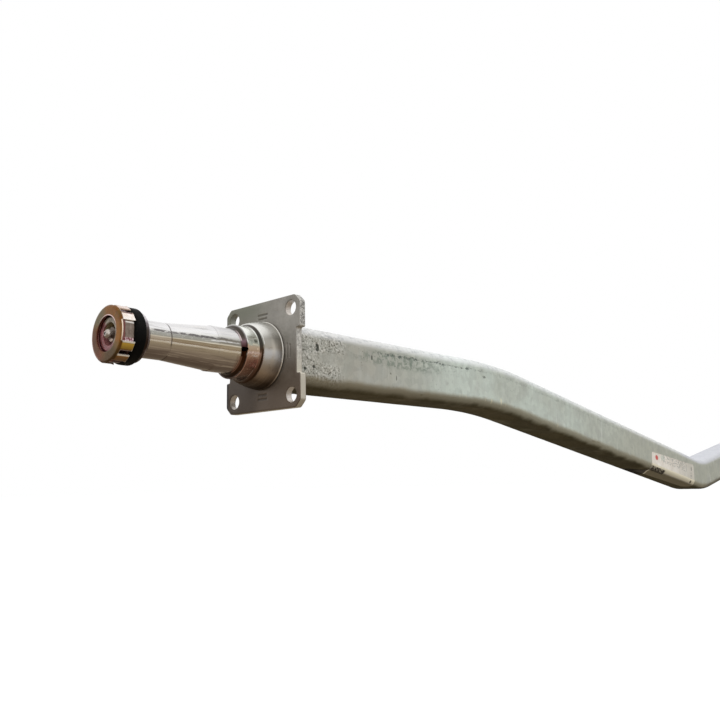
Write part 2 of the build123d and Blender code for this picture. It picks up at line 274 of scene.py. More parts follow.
class Finish(Nodes):
    """A material's nodes, with short ways to add what the finishes are made of."""

    def __init__(self, name):
        self.material = bpy.data.materials.new(name)
        super().__init__(self.material)
        self.lay = self.add("Attribute", {}, attribute_name="lay").outputs["Vector"]
        self.x, self.y, self.z = self.add("SeparateXYZ", {"Vector": self.lay}).outputs

    def times(self, *values):
        out = values[0]
        for value in values[1:]:
            out = self.math("MULTIPLY", out, value)
        return out

    def plus(self, a, b):
        return self.math("ADD", a, b)

    def minus(self, a, b):
        return self.math("SUBTRACT", a, b)

    def apart(self, a, b):
        return self.math("ABSOLUTE", self.minus(a, b))

    def length(self, a, b):
        return self.math("SQRT", self.plus(self.times(a, a), self.times(b, b)))

    def ramp(self, value, low, high, start=0.0, stop=1.0):
        """Rises smoothly from start to stop while value goes from low to high."""
        if low > high:
            low, high, start, stop = high, low, stop, start
        sockets = {0: value, 1: low, 2: high, 3: start, 4: stop}
        return self.out("MapRange", sockets, interpolation_type="SMOOTHSTEP")

    def between(self, value, low, high, soft):
        """1 where value lies between low and high, with soft ends."""
        rise, fall = self.ramp(value, low - soft, low + soft), self.ramp(value, high + soft, high - soft)
        return self.times(rise, fall)

    def patch(self, x=None, y=None, z=None, soft=0.25):
        """1 inside an ellipsoid in lay's place and 0 outside, free in a direction that isn't given.
        A direction has a middle and a half width, in millimetres."""
        total = None
        for source, value in ((self.x, x), (self.y, y), (self.z, z)):
            if value:
                away = self.times(self.minus(source, value[0] * MM), 1 / (value[1] * MM))
                square = self.times(away, away)
                total = self.plus(total, square) if total else square
        return self.ramp(total, 1 + soft, 1 - soft)

    def spots(self, *spots, soft=0.25):
        """Patches on the tube's side: where along it, half width, height, half height and strength."""
        return self.most(*(
            self.times(self.patch(x=(s, wide), z=(z, high), soft=soft), strength)
            for s, wide, z, high, strength in spots
        ))

    def height_round(self):
        """How high a point sits on its own turned piece, from -1 to 1, and its radius."""
        radius = self.length(self.y, self.z)
        # The highest level leans a little towards the camera's side
        lean = 0.11
        lifted = self.minus(self.z, self.times(self.y, lean))
        return self.over_radius(lifted, radius), radius

    def over_radius(self, value, radius):
        return self.math("DIVIDE", value, self.math("MAXIMUM", radius, 0.001))

    def scale_of(self, value, *stops, mirrored=True):
        """A colour scale over -1 to 1, with a value and a colour for each stop."""
        spread = self.out("Math", {0: value, 1: 0.5, 2: 0.5}, operation="MULTIPLY_ADD")
        node = self.add("ValToRGB", {0: spread})
        bands = node.color_ramp.elements
        while len(bands) < len(stops):
            bands.new(0.5)
        for band, stop in zip(bands, stops):
            band.position = (stop[0] + 1) / 2
        for band, stop in zip(bands, stops):
            band.color = seen_at(*stop) if mirrored else srgb(*stop[1:])
        return node.outputs[0]

    def noise(self, scale, detail=3.0, roughness=0.55, vector=None, distortion=0.0):
        """Noise of about 0.5, with scale in marks per metre."""
        sockets = {
            "Vector": vector or self.lay, "Scale": scale, "Detail": detail,
            "Roughness": roughness, "Distortion": distortion,
        }
        return self.out("TexNoise", sockets)

    def streaks(self, marks, detail, roughness):
        """Noise with its own marks per metre along each direction."""
        return self.noise(1, detail, roughness, self.out("Mapping", {"Vector": self.lay, "Scale": marks}))

    def cells(self, scale, output="Distance"):
        return self.add("TexVoronoi", {"Vector": self.lay, "Scale": scale}).outputs[output]

    def mix(self, factor, a, b):
        return self.add("Mix", {0: factor, 6: linear(a), 7: linear(b)}, data_type="RGBA").outputs[2]

    def layers(self, base, *layers):
        """Lays colours over base, each as strongly as the product of its strengths."""
        for colour, *strengths in layers:
            base = self.mix(self.times(*strengths), base, colour)
        return base

    def relief(self, height, distance, strength=1.0):
        return self.out("Bump", {"Height": height, "Distance": distance, "Strength": strength})

    def done(self, colour, roughness, metallic, normal, specular=0.5):
        sockets = {"Base Color": colour, "Roughness": roughness, "Metallic": metallic, "Normal": normal}
        shader = self.out("BsdfPrincipled", {**sockets, "Specular IOR Level": specular})
        self.add("OutputMaterial", {0: shader})
        return self.material


def galvanised_tube(f):
    """Hot-dip zinc on the beam: grey-green face, gritty near the flange, with a painted highlight along the
    top corner and painted shade, tan on the lower corner and dark brown underneath.
    """
    cloud = f.noise(45, 4, 0.6)
    grain = f.noise(420, 3, 0.6)
    grit = f.noise(540, 3, 0.6)
    streak = f.streaks((210, 60, 22), 4, 0.65)
    spangle = f.out("SeparateColor", {"Color": f.cells(150, "Color")})
    run = f.ramp(f.streaks((95, 9, 16), 3, 0.6), 0.60, 0.70)
    near = f.ramp(f.plus(f.x, f.times(f.noise(60, 2), 0.03)), 0.092, 0.078)
    near = f.times(near, f.minus(1.0, f.times(f.patch(x=(62, 26), z=(0, 6), soft=0.7), 0.85)))
    # The dark line under the top corner, and the marks seen on the front
    front = f.ramp(f.y, -0.018, -0.022)
    wander = f.times(f.minus(f.noise(70, 2, 0.5), 0.5), 0.0035)
    thick = f.ramp(f.noise(210, 4, 0.75), 0.42, 0.64, 0.0002, 0.0020)
    line = f.math("ABSOLUTE", f.plus(f.minus(f.z, 0.0128), wander))
    line = f.ramp(f.minus(line, thick), 0.0004, -0.0002)
    fading = f.plus(f.ramp(f.x, 0.31, 0.24, 0, 0.75), f.ramp(f.x, 0.70, 0.60, 0, 0.25))
    line = f.times(line, f.times(f.ramp(f.x, 0.105, 0.125), fading), front)
    line = f.times(line, f.ramp(f.noise(160, 3, 0.7), 0.42, 0.58))
    flecks = f.ramp(f.streaks((260, 100, 420), 4, 0.75), 0.55, 0.64)
    marks = f.spots(
        (38, 2.2, 8, 3.6, 1), (34, 1.5, -8, 1.4, 1), (24, 1.6, -10.5, 1.3, 1), (107, 1.1, 7, 2.4, 0.75),
        (291, 3.4, 7, 1.3, 0.7), (133, 1.2, -4.5, 0.9, 0.6), (141, 0.8, -8, 2.4, 0.7),
        (180, 2.4, -21, 1.0, 1), (4, 4.2, -14.5, 3.6, 1),
    )
    marks = f.times(marks, front, f.ramp(f.noise(300, 3), 0.3, 0.5))
    nicks = f.spots((560, 7, -19, 1.1, 1), (585, 5, -22, 1.0, 1), (573, 5, -18, 0.9, 1))
    # Masks for the painted highlight on the top corner and the painted shade on the lower corner and
    # underneath
    top = f.ramp(f.z, 0.0145, 0.0205)
    wavy = f.plus(f.z, f.times(f.minus(f.noise(38, 3), 0.5), 0.007))
    lower_shade = f.ramp(wavy, -0.0135, -0.0195)
    underside_shade = f.ramp(wavy, -0.0209, -0.0255)
    drips = f.spots(
        (326, 9, -18, 6, 1), (300, 7, -17, 4, 1), (250, 6, -17, 3, 1), (452, 8, -17, 4, 1), soft=0.6,
    )
    drips = f.times(f.ramp(f.streaks((170, 8, 30), 2, 0.5), 0.54, 0.62), drips, front)
    tan = f.mix(f.ramp(f.x, 0.20, 0.42), (140, 130, 108), (166, 161, 141))
    tan = f.mix(f.ramp(f.x, 0.98, 1.03), tan, (110, 104, 90))
    brown = f.mix(f.ramp(f.noise(25, 3), 0.4, 0.65), (86, 79, 54), (74, 69, 48))
    brown = f.mix(f.ramp(f.x, 0.95, 1.00), brown, (52, 48, 34))
    brown = f.mix(f.ramp(grain, 0.45, 0.7, 0, 0.3), brown, (120, 108, 80))
    # The shadow beside the label's lifted corner
    shadow = f.minus(f.x, f.ramp(f.y, -0.0135, 0.0130, 0.7630, 0.7430))
    shadow = f.times(f.ramp(shadow, -0.0010, 0.0020), f.ramp(f.x, 0.800, 0.797))
    shadow = f.times(shadow, f.ramp(f.y, 0.0225, 0.0205), f.ramp(f.z, -0.0222, -0.0236))
    grey = f.mix(f.ramp(f.noise(14, 2), 0.4, 0.62), (188, 194, 184), (200, 209, 200))
    grey = f.mix(f.ramp(f.x, 0.08, 0.26), (170, 168, 158), grey)
    grey = f.layers(
        grey,
        ((180, 182, 169), f.ramp(f.x, 0.45, 0.75)),
        ((182, 184, 178), f.ramp(cloud, 0.48, 0.72, 0, 0.5)),
        ((156, 160, 150), f.ramp(cloud, 0.48, 0.28, 0, 0.45)),
        ((210, 212, 206), f.ramp(streak, 0.52, 0.72, 0, 0.22)),
        ((146, 150, 140), f.ramp(streak, 0.46, 0.28, 0, 0.16)),
        ((222, 224, 220), run, f.ramp(f.x, 0.25, 0.33), 0.35),
        ((110, 116, 114), f.ramp(spangle, 0.0, 1.0, 0, 0.16)),
        # Grit near the flange, and small pits
        ((84, 80, 72), near, f.ramp(grit, 0.45, 0.35, 0, 0.85)),
        ((218, 215, 209), near, f.ramp(grit, 0.51, 0.63, 0, 0.7)),
        ((84, 86, 80), f.ramp(f.cells(260), 0.16, 0.08), f.ramp(f.noise(30, 2), 0.54, 0.64), 0.6),
        # The line and the marks
        ((74, 84, 82), line, 0.85),
        ((104, 118, 110), flecks, front, f.patch(x=(170, 80), z=(7.5, 7.0), soft=0.8), 0.6),
        ((112, 124, 112), f.patch(x=(150, 60), z=(8, 7), soft=0.8), front,
         f.ramp(f.noise(150, 4, 0.75), 0.44, 0.58), 0.65),
        ((58, 60, 54), marks, 0.9),
        ((60, 50, 40), nicks, front, 0.8),
        # Painted highlight along the top corner, pale lavender-grey on the top face, drips on the lower
        # corner, and painted shade: tan on the lower corner, dark brown underneath
        ((212, 212, 214), top, 0.6),
        ((150, 152, 154), top, f.ramp(f.streaks((160, 60, 260), 4, 0.7), 0.50, 0.64), 0.5),
        ((170, 170, 176), f.ramp(f.z, 0.0240, 0.0253, 0, 0.35)),
        ((186, 187, 196), top, f.ramp(f.x, 0.86, 0.92), 0.6),
        (tan, lower_shade, 0.85),
        ((214, 208, 180), drips, 0.7),
        (brown, underside_shade, 0.94),
        ((58, 55, 36), underside_shade, f.ramp(f.x, 0.45, 0.60), 0.35),
        ((5, 3, 1), shadow, 0.97),
    )
    rough = f.plus(f.ramp(cloud, 0.3, 0.7, 0.40, 0.56), f.times(near, 0.12))
    rough = f.plus(rough, f.times(underside_shade, 0.3))
    height = f.plus(f.times(grain, 0.5), f.times(streak, 0.6))
    height = f.plus(height, f.times(near, grit, 2.2))
    height = f.minus(height, f.times(f.most(marks, line), 1.5))
    return f.done(grey, rough, f.times(f.minus(1.0, lower_shade), 0.35), f.relief(height, 0.00025, 0.7), 0.1)


def galvanised_plate(f):
    """The brake flange: dull dark zinc on its faces, pale zinc on its edges."""
    cloud = f.noise(55, 4, 0.6)
    fine = f.noise(700, 3, 0.6)
    furthest = f.most(f.math("ABSOLUTE", f.y), f.math("ABSOLUTE", f.z))
    pressed = f.times(f.ramp(f.x, -0.00014, -0.00030), f.ramp(furthest, 0.0410, 0.0400))
    pressed = f.times(pressed, f.ramp(f.x, -0.0010, -0.0008), f.ramp(f.y, -0.0290, -0.0280, 0.35, 1))
    face = f.mix(f.ramp(cloud, 0.35, 0.68), (128, 124, 117), (152, 148, 141))
    face = f.layers(
        face,
        ((146, 144, 140), f.ramp(f.streaks((50, 30, 160), 4, 0.65), 0.52, 0.72, 0, 0.35)),
        ((78, 74, 68), f.ramp(fine, 0.56, 0.74, 0, 0.3)),
        ((88, 72, 57), f.ramp(f.z, 0.016, -0.036, 0, 0.9)),
        ((88, 80, 70), f.ramp(f.y, 0.000, 0.038, 0, 0.5)),
        ((68, 57, 48), f.ramp(f.y, -0.002, 0.014), f.ramp(f.z, -0.004, -0.022), 0.7),
        ((60, 52, 44), pressed, 0.7),
        ((110, 112, 98), f.ramp(f.z, 0.022, 0.040), f.ramp(f.y, -0.02, 0.02), 0.8),
        # Painted shade along the far upright edge, darkest low down
        ((44, 36, 30), f.ramp(f.y, 0.0431, 0.0439, 0, 0.85)),
        ((26, 16, 12), f.ramp(f.y, 0.0414, 0.0424), f.ramp(f.z, -0.010, -0.016)),
    )
    # The edge is where a point is well clear of both faces
    back = flange_thickness * MM
    inside = f.times(f.ramp(f.x, -0.0003, -0.0008), f.ramp(f.x, 0.0003 - back, 0.0008 - back))
    from_bolt = f.length(*(f.minus(f.math("ABSOLUTE", way), bolt_place * MM) for way in (f.y, f.z)))
    wall = f.mix(f.times(f.ramp(f.y, 0.0, 0.01), f.ramp(f.z, 0.0, 0.01)), (206, 199, 192), (150, 150, 140))
    pale = f.mix(f.ramp(fine, 0.40, 0.62), (156, 153, 147), (200, 197, 190))
    pale = f.layers(
        pale,
        ((56, 54, 54), f.ramp(f.noise(850, 3, 0.7), 0.52, 0.46), f.ramp(f.z, 0.0188, 0.0205), 0.75),
        ((186, 180, 166), f.ramp(f.z, 0.010, -0.020)),
        # A painted highlight along the outer face's upper edges
        ((214, 212, 208), f.between(f.x, -0.0010, -0.0003, 0.0002), f.ramp(f.z, 0.010, 0.014), 0.7),
        (wall, f.ramp(from_bolt, 0.0067, 0.0064)),
    )
    height = f.plus(f.times(fine, 0.5), f.times(cloud, 0.6))
    rough = f.ramp(cloud, 0.3, 0.7, 0.34, 0.52)
    return f.done(f.mix(inside, face, pale), rough, 0.45, f.relief(height, 0.00018, 0.6))


def weld_zinc(f):
    """Zinc over weld beads: pale crests, dark grit between the ripples, and a dark spot low on the front."""
    grit = f.noise(520, 3, 0.6)
    slag = f.patch(x=(-9.5, 3.8), z=(-13.8, 3.0), soft=0.6)
    colour = f.mix(f.ramp(grit, 0.38, 0.62), (104, 101, 94), (204, 201, 192))
    colour = f.layers(
        colour,
        ((72, 72, 64), f.ramp(f.noise(160, 3), 0.52, 0.66, 0, 0.7)),
        ((60, 66, 58), slag, f.ramp(f.y, 0.0, -0.01), 0.85),
    )
    return f.done(colour, 0.58, 0.3, f.relief(grit, 0.0003, 0.8))


def machined_steel(f):
    """The spindle: ground seats, a stained seal land and a satin collar, each with its reflection painted by
    height, bright above and darker and browner lower down.
    """
    true_level, radius = f.height_round()

    def wrapped(outboard, around, detail, roughness, level, across=0):
        """Noise that runs round the spindle, with its marks per metre outboard and across."""
        sockets = {0: f.times(f.x, outboard), 1: f.times(level, around), 2: f.times(f.y, across)}
        return f.noise(1, detail, roughness, f.out("CombineXYZ", sockets))

    wander = wrapped(26, 2.2, 2, 0.5, true_level, 30)
    level = f.plus(true_level, f.times(f.minus(wander, 0.5), 0.10))
    lines = wrapped(34, 16, 4, 0.6, level, 60)
    brushed = wrapped(900, 1.5, 3, 0.6, level)
    rust = f.noise(700, 4, 0.7)
    rusty = f.ramp(rust, 0.44, 0.60)

    def painted(base, *marks):
        """Paints marks over base. Each has its start and stop in mm outboard, its lowest and highest level,
        its strength, one colour or two that rust mixes, and how soft its ends are, in mm and in level."""
        usual_softness = 0.4, 0.03  # In mm outboard and in level
        for start, stop, low, high, strength, colours, *soft in marks:
            soft_ends, soft_level = *soft, *usual_softness[len(soft):]
            shades = [seen_at(high, *colour) for colour in colours]
            colour = f.mix(rusty, *shades) if len(shades) == 2 else shades[0]
            where = f.between(f.x, start * MM, stop * MM, soft_ends * MM)
            base = f.mix(f.times(where, f.between(level, low, high, soft_level), strength), base, colour)
        return base

    # The steel's colour is its reflection, painted by height: dark brown at the bottom, paler bands about the
    # middle, white above
    steel = f.scale_of(
        level,
        (-1.0, 66, 52, 40), (-0.74, 84, 70, 57), (-0.45, 118, 103, 86), (-0.16, 138, 123, 100),
        (-0.13, 170, 156, 134), (-0.08, 170, 156, 134), (-0.06, 146, 128, 104), (-0.03, 152, 135, 110),
        (0.12, 146, 132, 108), (0.145, 206, 196, 176), (0.18, 168, 162, 148), (0.21, 150, 147, 137),
        (0.37, 157, 156, 149), (0.48, 226, 225, 220), (0.60, 241, 240, 240), (0.74, 240, 239, 239),
        (0.83, 230, 229, 229), (1.0, 224, 222, 222),
    )
    # Painted reflection: a broken dark line along the top, with bright flecks beside it and a darker band
    # near the shoulder
    line = f.ramp(f.apart(level, f.ramp(f.x, 0.040, 0.095, 0.36, 0.47)), 0.080, 0.035)
    line = f.times(line, f.ramp(f.x, 0.036, 0.050), f.ramp(f.x, 0.112, 0.106))
    line = f.times(line, f.ramp(wrapped(300, 9, 3, 0.7, level), 0.38, 0.50))
    flecks = f.ramp(wrapped(300, 40, 3, 0.7, level), 0.60, 0.68)
    steel = f.layers(
        steel,
        ((236, 230, 222), f.ramp(lines, 0.54, 0.70, 0, 0.45)),
        ((92, 82, 72), f.ramp(lines, 0.46, 0.30, 0, 0.4)),
        ((78, 72, 74), line, 0.85),
        ((246, 244, 240), flecks, f.ramp(f.apart(level, 0.32), 0.16, 0.06), 0.8),
        ((118, 112, 100), f.ramp(f.x, 0.058, 0.052), f.ramp(f.apart(level, 0.28), 0.14, 0.06), 0.85),
    )
    # More painted reflection: towards the end the middle is paler and the bottom darker, and along the inner
    # seat it is browner
    steel = painted(
        steel,
        (94.2, 112.0, -0.03, 0.13, 0.7, [(166, 153, 136)], 0.6, 0.04),
        (56.0, 93.0, -0.05, 0.12, 0.45, [(128, 111, 86)], 0.6, 0.04),
        (94.2, 112.0, -0.90, -0.52, 0.5, [(76, 62, 50)], 0.6, 0.04),
    )
    # The painted white at the top is dimmed near the shoulder
    dimmed_top_reflection = f.times(f.ramp(f.x, 0.058, 0.050), f.between(level, 0.34, 0.95, 0.06), 0.2)
    steel = f.mix(dimmed_top_reflection, steel, (110, 104, 104))
    # A painted highlight: a broken white streak just above the middle near the shoulder
    highlight_streak = f.times(f.ramp(wrapped(160, 14, 3, 0.7, level), 0.36, 0.52), 0.75)
    steel = painted(steel, (36.0, 62.0, 0.255, 0.30, highlight_streak, [(238, 236, 234)], 2.0))
    # Seal land: its reflection painted by height, bright above, mottled grey-green below that, copper-brown
    # rust underneath, darkest at the bottom
    land = f.scale_of(
        level,
        (-1.0, 44, 34, 25), (-0.90, 50, 38, 28), (-0.75, 74, 53, 39), (-0.57, 92, 66, 50),
        (-0.40, 116, 80, 62), (-0.25, 128, 97, 75), (-0.05, 152, 127, 104), (0.03, 160, 136, 113),
        (0.19, 168, 150, 128),
        (0.30, 170, 172, 160), (0.50, 214, 217, 208), (0.60, 232, 236, 227), (0.80, 252, 253, 247),
        (1.0, 244, 245, 238),
    )
    stain = f.times(rusty, f.ramp(level, 0.12, -0.12))
    land = f.layers(
        land,
        (seen_at(-1, 84, 44, 30), stain, 0.45),
        (seen_at(-1, 168, 122, 100), f.ramp(rust, 0.44, 0.32), f.ramp(level, 0.2, -0.5), 0.4),
    )
    # Patches of stain and rust, and thin painted highlights at set heights
    land = painted(
        land,
        (22.2, 24.9, 0.35, 0.46, 0.85, [(95, 100, 88)]),
        (26.8, 30.6, 0.21, 0.41, 0.7, [(176, 180, 168), (132, 138, 126)]),
        (21.7, 26.8, 0.265, 0.295, 0.8, [(238, 231, 208)]),
        (21.8, 22.4, 0.11, 0.15, 0.8, [(250, 226, 200)]),
        (21.4, 27.0, -0.16, -0.10, 0.8, [(150, 120, 100), (240, 212, 192)]),
        (19.5, 27.0, -0.56, -0.26, 0.45, [(120, 84, 68), (118, 62, 50)]),
        (21.4, 21.7, -0.88, -0.65, 0.8, [(150, 130, 110)]),
    )
    steel = f.mix(f.ramp(f.x, 0.0319, 0.0314), steel, land)
    # A painted highlight along the land's outer edge: white above, browner lower down
    steel = painted(
        steel,
        (31.1, 31.6, 0.30, 1.1, 0.85, [(236, 236, 232)], 0.15),
        (31.1, 31.6, -0.95, -0.04, 0.5, [(150, 112, 90)], 0.15),
        (31.1, 31.6, -0.04, 0.24, 0.7, [(190, 150, 125)], 0.15),
    )
    # Painted shade in the hollow from the collar: dark above, brown lower down, with a darker line at the
    # collar
    hollow = f.scale_of(
        level,
        (-1.0, 40, 26, 16), (-0.5, 70, 46, 32), (-0.05, 110, 82, 64), (0.02, 96, 74, 60), (0.12, 66, 50, 38),
        (0.30, 60, 56, 50), (0.60, 64, 62, 58), (1.0, 80, 74, 69),
    )
    steel = f.mix(f.between(f.x, 0.0178, 0.0203, 0.0003), steel, hollow)
    steel = painted(
        steel,
        (17.6, 18.8, -1.1, 0.16, 1.0, [(60, 43, 31)], 0.2),
        (20.5, 21.1, -0.90, -0.60, 0.8, [(40, 26, 18)], 0.15),
    )
    # Painted reflection and shade in the hollow at the shoulder: grey, then plum, then near black at the
    # bottom
    shoulder = f.scale_of(
        level,
        (-1.0, 44, 32, 24), (-0.6, 70, 47, 33), (-0.3, 58, 32, 18), (0.0, 46, 23, 10), (0.20, 70, 44, 44),
        (0.30, 98, 72, 74), (0.40, 124, 99, 106), (0.50, 94, 82, 79), (0.62, 74, 68, 62), (1.0, 76, 71, 65),
        mirrored=False,
    )
    steel = f.mix(f.between(f.x, 0.0317, 0.0349, 0.0002), steel, shoulder)
    # Painted shade beside it low down, with a dark line where the seat starts, and a painted highlight along
    # the seat's end above
    steel = painted(
        steel,
        (33.5, 36.0, -0.95, -0.25, 0.6, [(104, 72, 54)], 0.3),
        (36.0, 38.2, -0.80, -0.20, 0.35, [(100, 72, 54)], 0.5),
        (36.0, 36.4, -0.95, -0.45, 0.8, [(46, 30, 22)], 0.15),
        (33.7, 35.6, 0.44, 0.93, 0.75, [(228, 210, 210)], 0.3),
    )
    # Collar: satin, its reflection painted by height, with a painted soft light on the side that faces out, a
    # painted highlight on its rim and a painted shadow in the gap at the flange
    satin = f.scale_of(
        level,
        (-1.0, 34, 22, 11), (-0.86, 56, 41, 27), (-0.62, 112, 92, 71), (-0.42, 118, 102, 84),
        (-0.12, 142, 132, 118), (0.20, 160, 153, 142), (0.46, 166, 163, 155), (0.64, 226, 225, 219),
        (0.80, 240, 239, 234), (1.0, 238, 237, 233),
    )
    lit = f.times(f.ramp(f.x, 0.0074, 0.0096), f.ramp(f.x, 0.0126, 0.0104))
    satin = f.layers(
        satin,
        ((206, 200, 188), lit, f.ramp(level, -0.50, -0.10), f.ramp(level, 0.60, 0.35), 0.35),
        ((196, 190, 180), f.ramp(brushed, 0.5, 0.72, 0, 0.15)),
        ((104, 92, 78), f.ramp(f.noise(240, 4, 0.65), 0.56, 0.72, 0, 0.35)),
        ((236, 232, 224), f.ramp(f.x, 0.0024, 0.0020), f.ramp(level, -1.0, 0.0), 0.85),
        ((34, 26, 20), f.ramp(f.x, 0.0009, 0.0006)),
    )
    # A painted highlight along the collar's edge by the hollow
    satin = painted(satin, (17.2, 17.6, 0.30, 0.95, 0.85, [(240, 240, 236)], 0.15))
    collar = f.ramp(f.x, 0.0179, 0.0177)
    steel = f.mix(collar, steel, satin)
    # Thin dark rings where one seat ends and the next begins
    for at, strength in ((0.0548, 0.15), (0.0939, 0.8), (0.0352, 0.35)):
        ring = f.times(f.ramp(f.apart(f.x, at), 0.0005, 0.0002), f.ramp(level, -0.40, -0.15), strength)
        steel = f.mix(ring, steel, (66, 54, 50))
    # The washer is mirrored in the seat beside it
    for low, high in ((-0.62, -0.04), (-0.04, 0.30)):
        steel = painted(steel, (112.2, 114.8, low, high, 0.9, [(48, 30, 22)], 0.3))
    # The end, painted by which way it faces: olive above and towards the front, plum round the rest, paler
    # plum on the chamfer; the socket's wall is plum low and olive high
    tip = f.ramp(f.x, 0.1120, 0.1130)
    aside = f.minus(f.times(level, 0.8), f.over_radius(f.y, radius))
    olive = f.mix(f.ramp(f.noise(300, 3), 0.4, 0.6), (104, 92, 74), (142, 132, 116))
    plum = f.mix(f.ramp(f.noise(260, 3), 0.4, 0.6), (104, 56, 54), (138, 82, 86))
    plum = f.mix(f.ramp(radius, 0.0112, 0.0118), plum, (196, 120, 128))
    wall = f.mix(f.ramp(f.z, -0.0015, 0.0015), (150, 98, 98), (176, 162, 122))
    steel = f.layers(
        steel,
        (f.mix(f.ramp(aside, 0.35, -0.15), olive, plum), tip),
        (wall, tip, f.ramp(f.x, 0.1341, 0.1336), f.ramp(radius, 0.0090, 0.0080), 0.9),
    )
    rough = f.plus(f.ramp(f.noise(70, 4, 0.6), 0.3, 0.7, 0.16, 0.26), f.times(collar, 0.16))
    rough = f.plus(rough, f.times(stain, f.ramp(f.x, 0.033, 0.032), 0.2))
    height = f.plus(f.streaks((5200, 12, 12), 3, 0.7), f.times(brushed, collar, 3.0))
    return f.done(steel, rough, f.ramp(tip, 0, 1, 1.0, 0.25), f.relief(height, 0.00001, 0.6))


def washer_steel(f):
    """The washer: dark, with painted shade low down and a painted highlight above, where it catches the
    light.
    """
    level, _ = f.height_round()
    cloud = f.noise(260, 4, 0.6)
    colour = f.scale_of(
        level,
        (-1.0, 40, 28, 20), (-0.5, 54, 40, 34), (-0.1, 54, 41, 36), (0.25, 62, 54, 48), (0.5, 102, 94, 98),
        (0.7, 204, 198, 202), (1.0, 222, 220, 222), mirrored=False,
    )
    colour = f.layers(
        colour,
        ((168, 158, 160), f.ramp(cloud, 0.52, 0.7, 0, 0.4)),
        ((176, 166, 172), f.ramp(f.x, 0.1153, 0.1149, 0, 0.5)),
    )
    rings = f.streaks((3000, 20, 20), 3, 0.6)
    return f.done(colour, f.ramp(cloud, 0.3, 0.7, 0.26, 0.42), 0.9, f.relief(rings, 0.00003, 0.6))


def black_rubber(f):
    """The ring behind the nut: black, with a little dust."""
    cloud = f.noise(180, 4, 0.6)
    colour = f.mix(f.ramp(cloud, 0.35, 0.7), (3, 3, 3), (12, 11, 10))
    colour = f.mix(f.ramp(f.noise(420, 4, 0.7), 0.58, 0.72, 0, 0.3), colour, (46, 42, 38))
    height = f.plus(f.noise(1500, 2, 0.6), f.times(cloud, 1.5))
    return f.done(colour, f.ramp(cloud, 0.3, 0.7, 0.55, 0.72), 0.0, f.relief(height, 0.00008, 0.6), 0.08)


def nut_steel(f):
    """The nut: grey flats with lighter upright streaks, plum where the cup's edges are mirrored."""
    cloud = f.noise(240, 4, 0.6)
    drawn = f.streaks((2200, 160, 160), 3, 0.6)
    low = f.ramp(f.z, -0.0038, -0.0052)
    colour = f.mix(f.ramp(cloud, 0.35, 0.65), (104, 90, 80), (132, 118, 108))
    # Painted: the cup's lower edges mirrored in plum with glints, shade at the bottom, a highlight along the
    # top of the flats, shadow above it under the cup, and shade on the front
    colour = f.layers(
        colour,
        ((168, 156, 146), f.ramp(drawn, 0.52, 0.68, 0, 0.6)),
        ((118, 56, 66), low, 0.85),
        ((226, 204, 208), low, f.ramp(f.noise(700, 3, 0.7), 0.48, 0.56), 0.9),
        ((62, 30, 32), f.ramp(f.z, -0.0100, -0.0112)),
        ((232, 228, 222), f.ramp(f.z, 0.0052, 0.0058), 0.9),
        ((92, 34, 40), f.ramp(f.z, 0.0064, 0.0068)),
        ((112, 64, 60), f.ramp(f.x, 0.1326, 0.1334, 0, 0.9)),
    )
    return f.done(colour, f.ramp(cloud, 0.3, 0.7, 0.26, 0.42), 0.9, f.relief(drawn, 0.00002, 0.7))


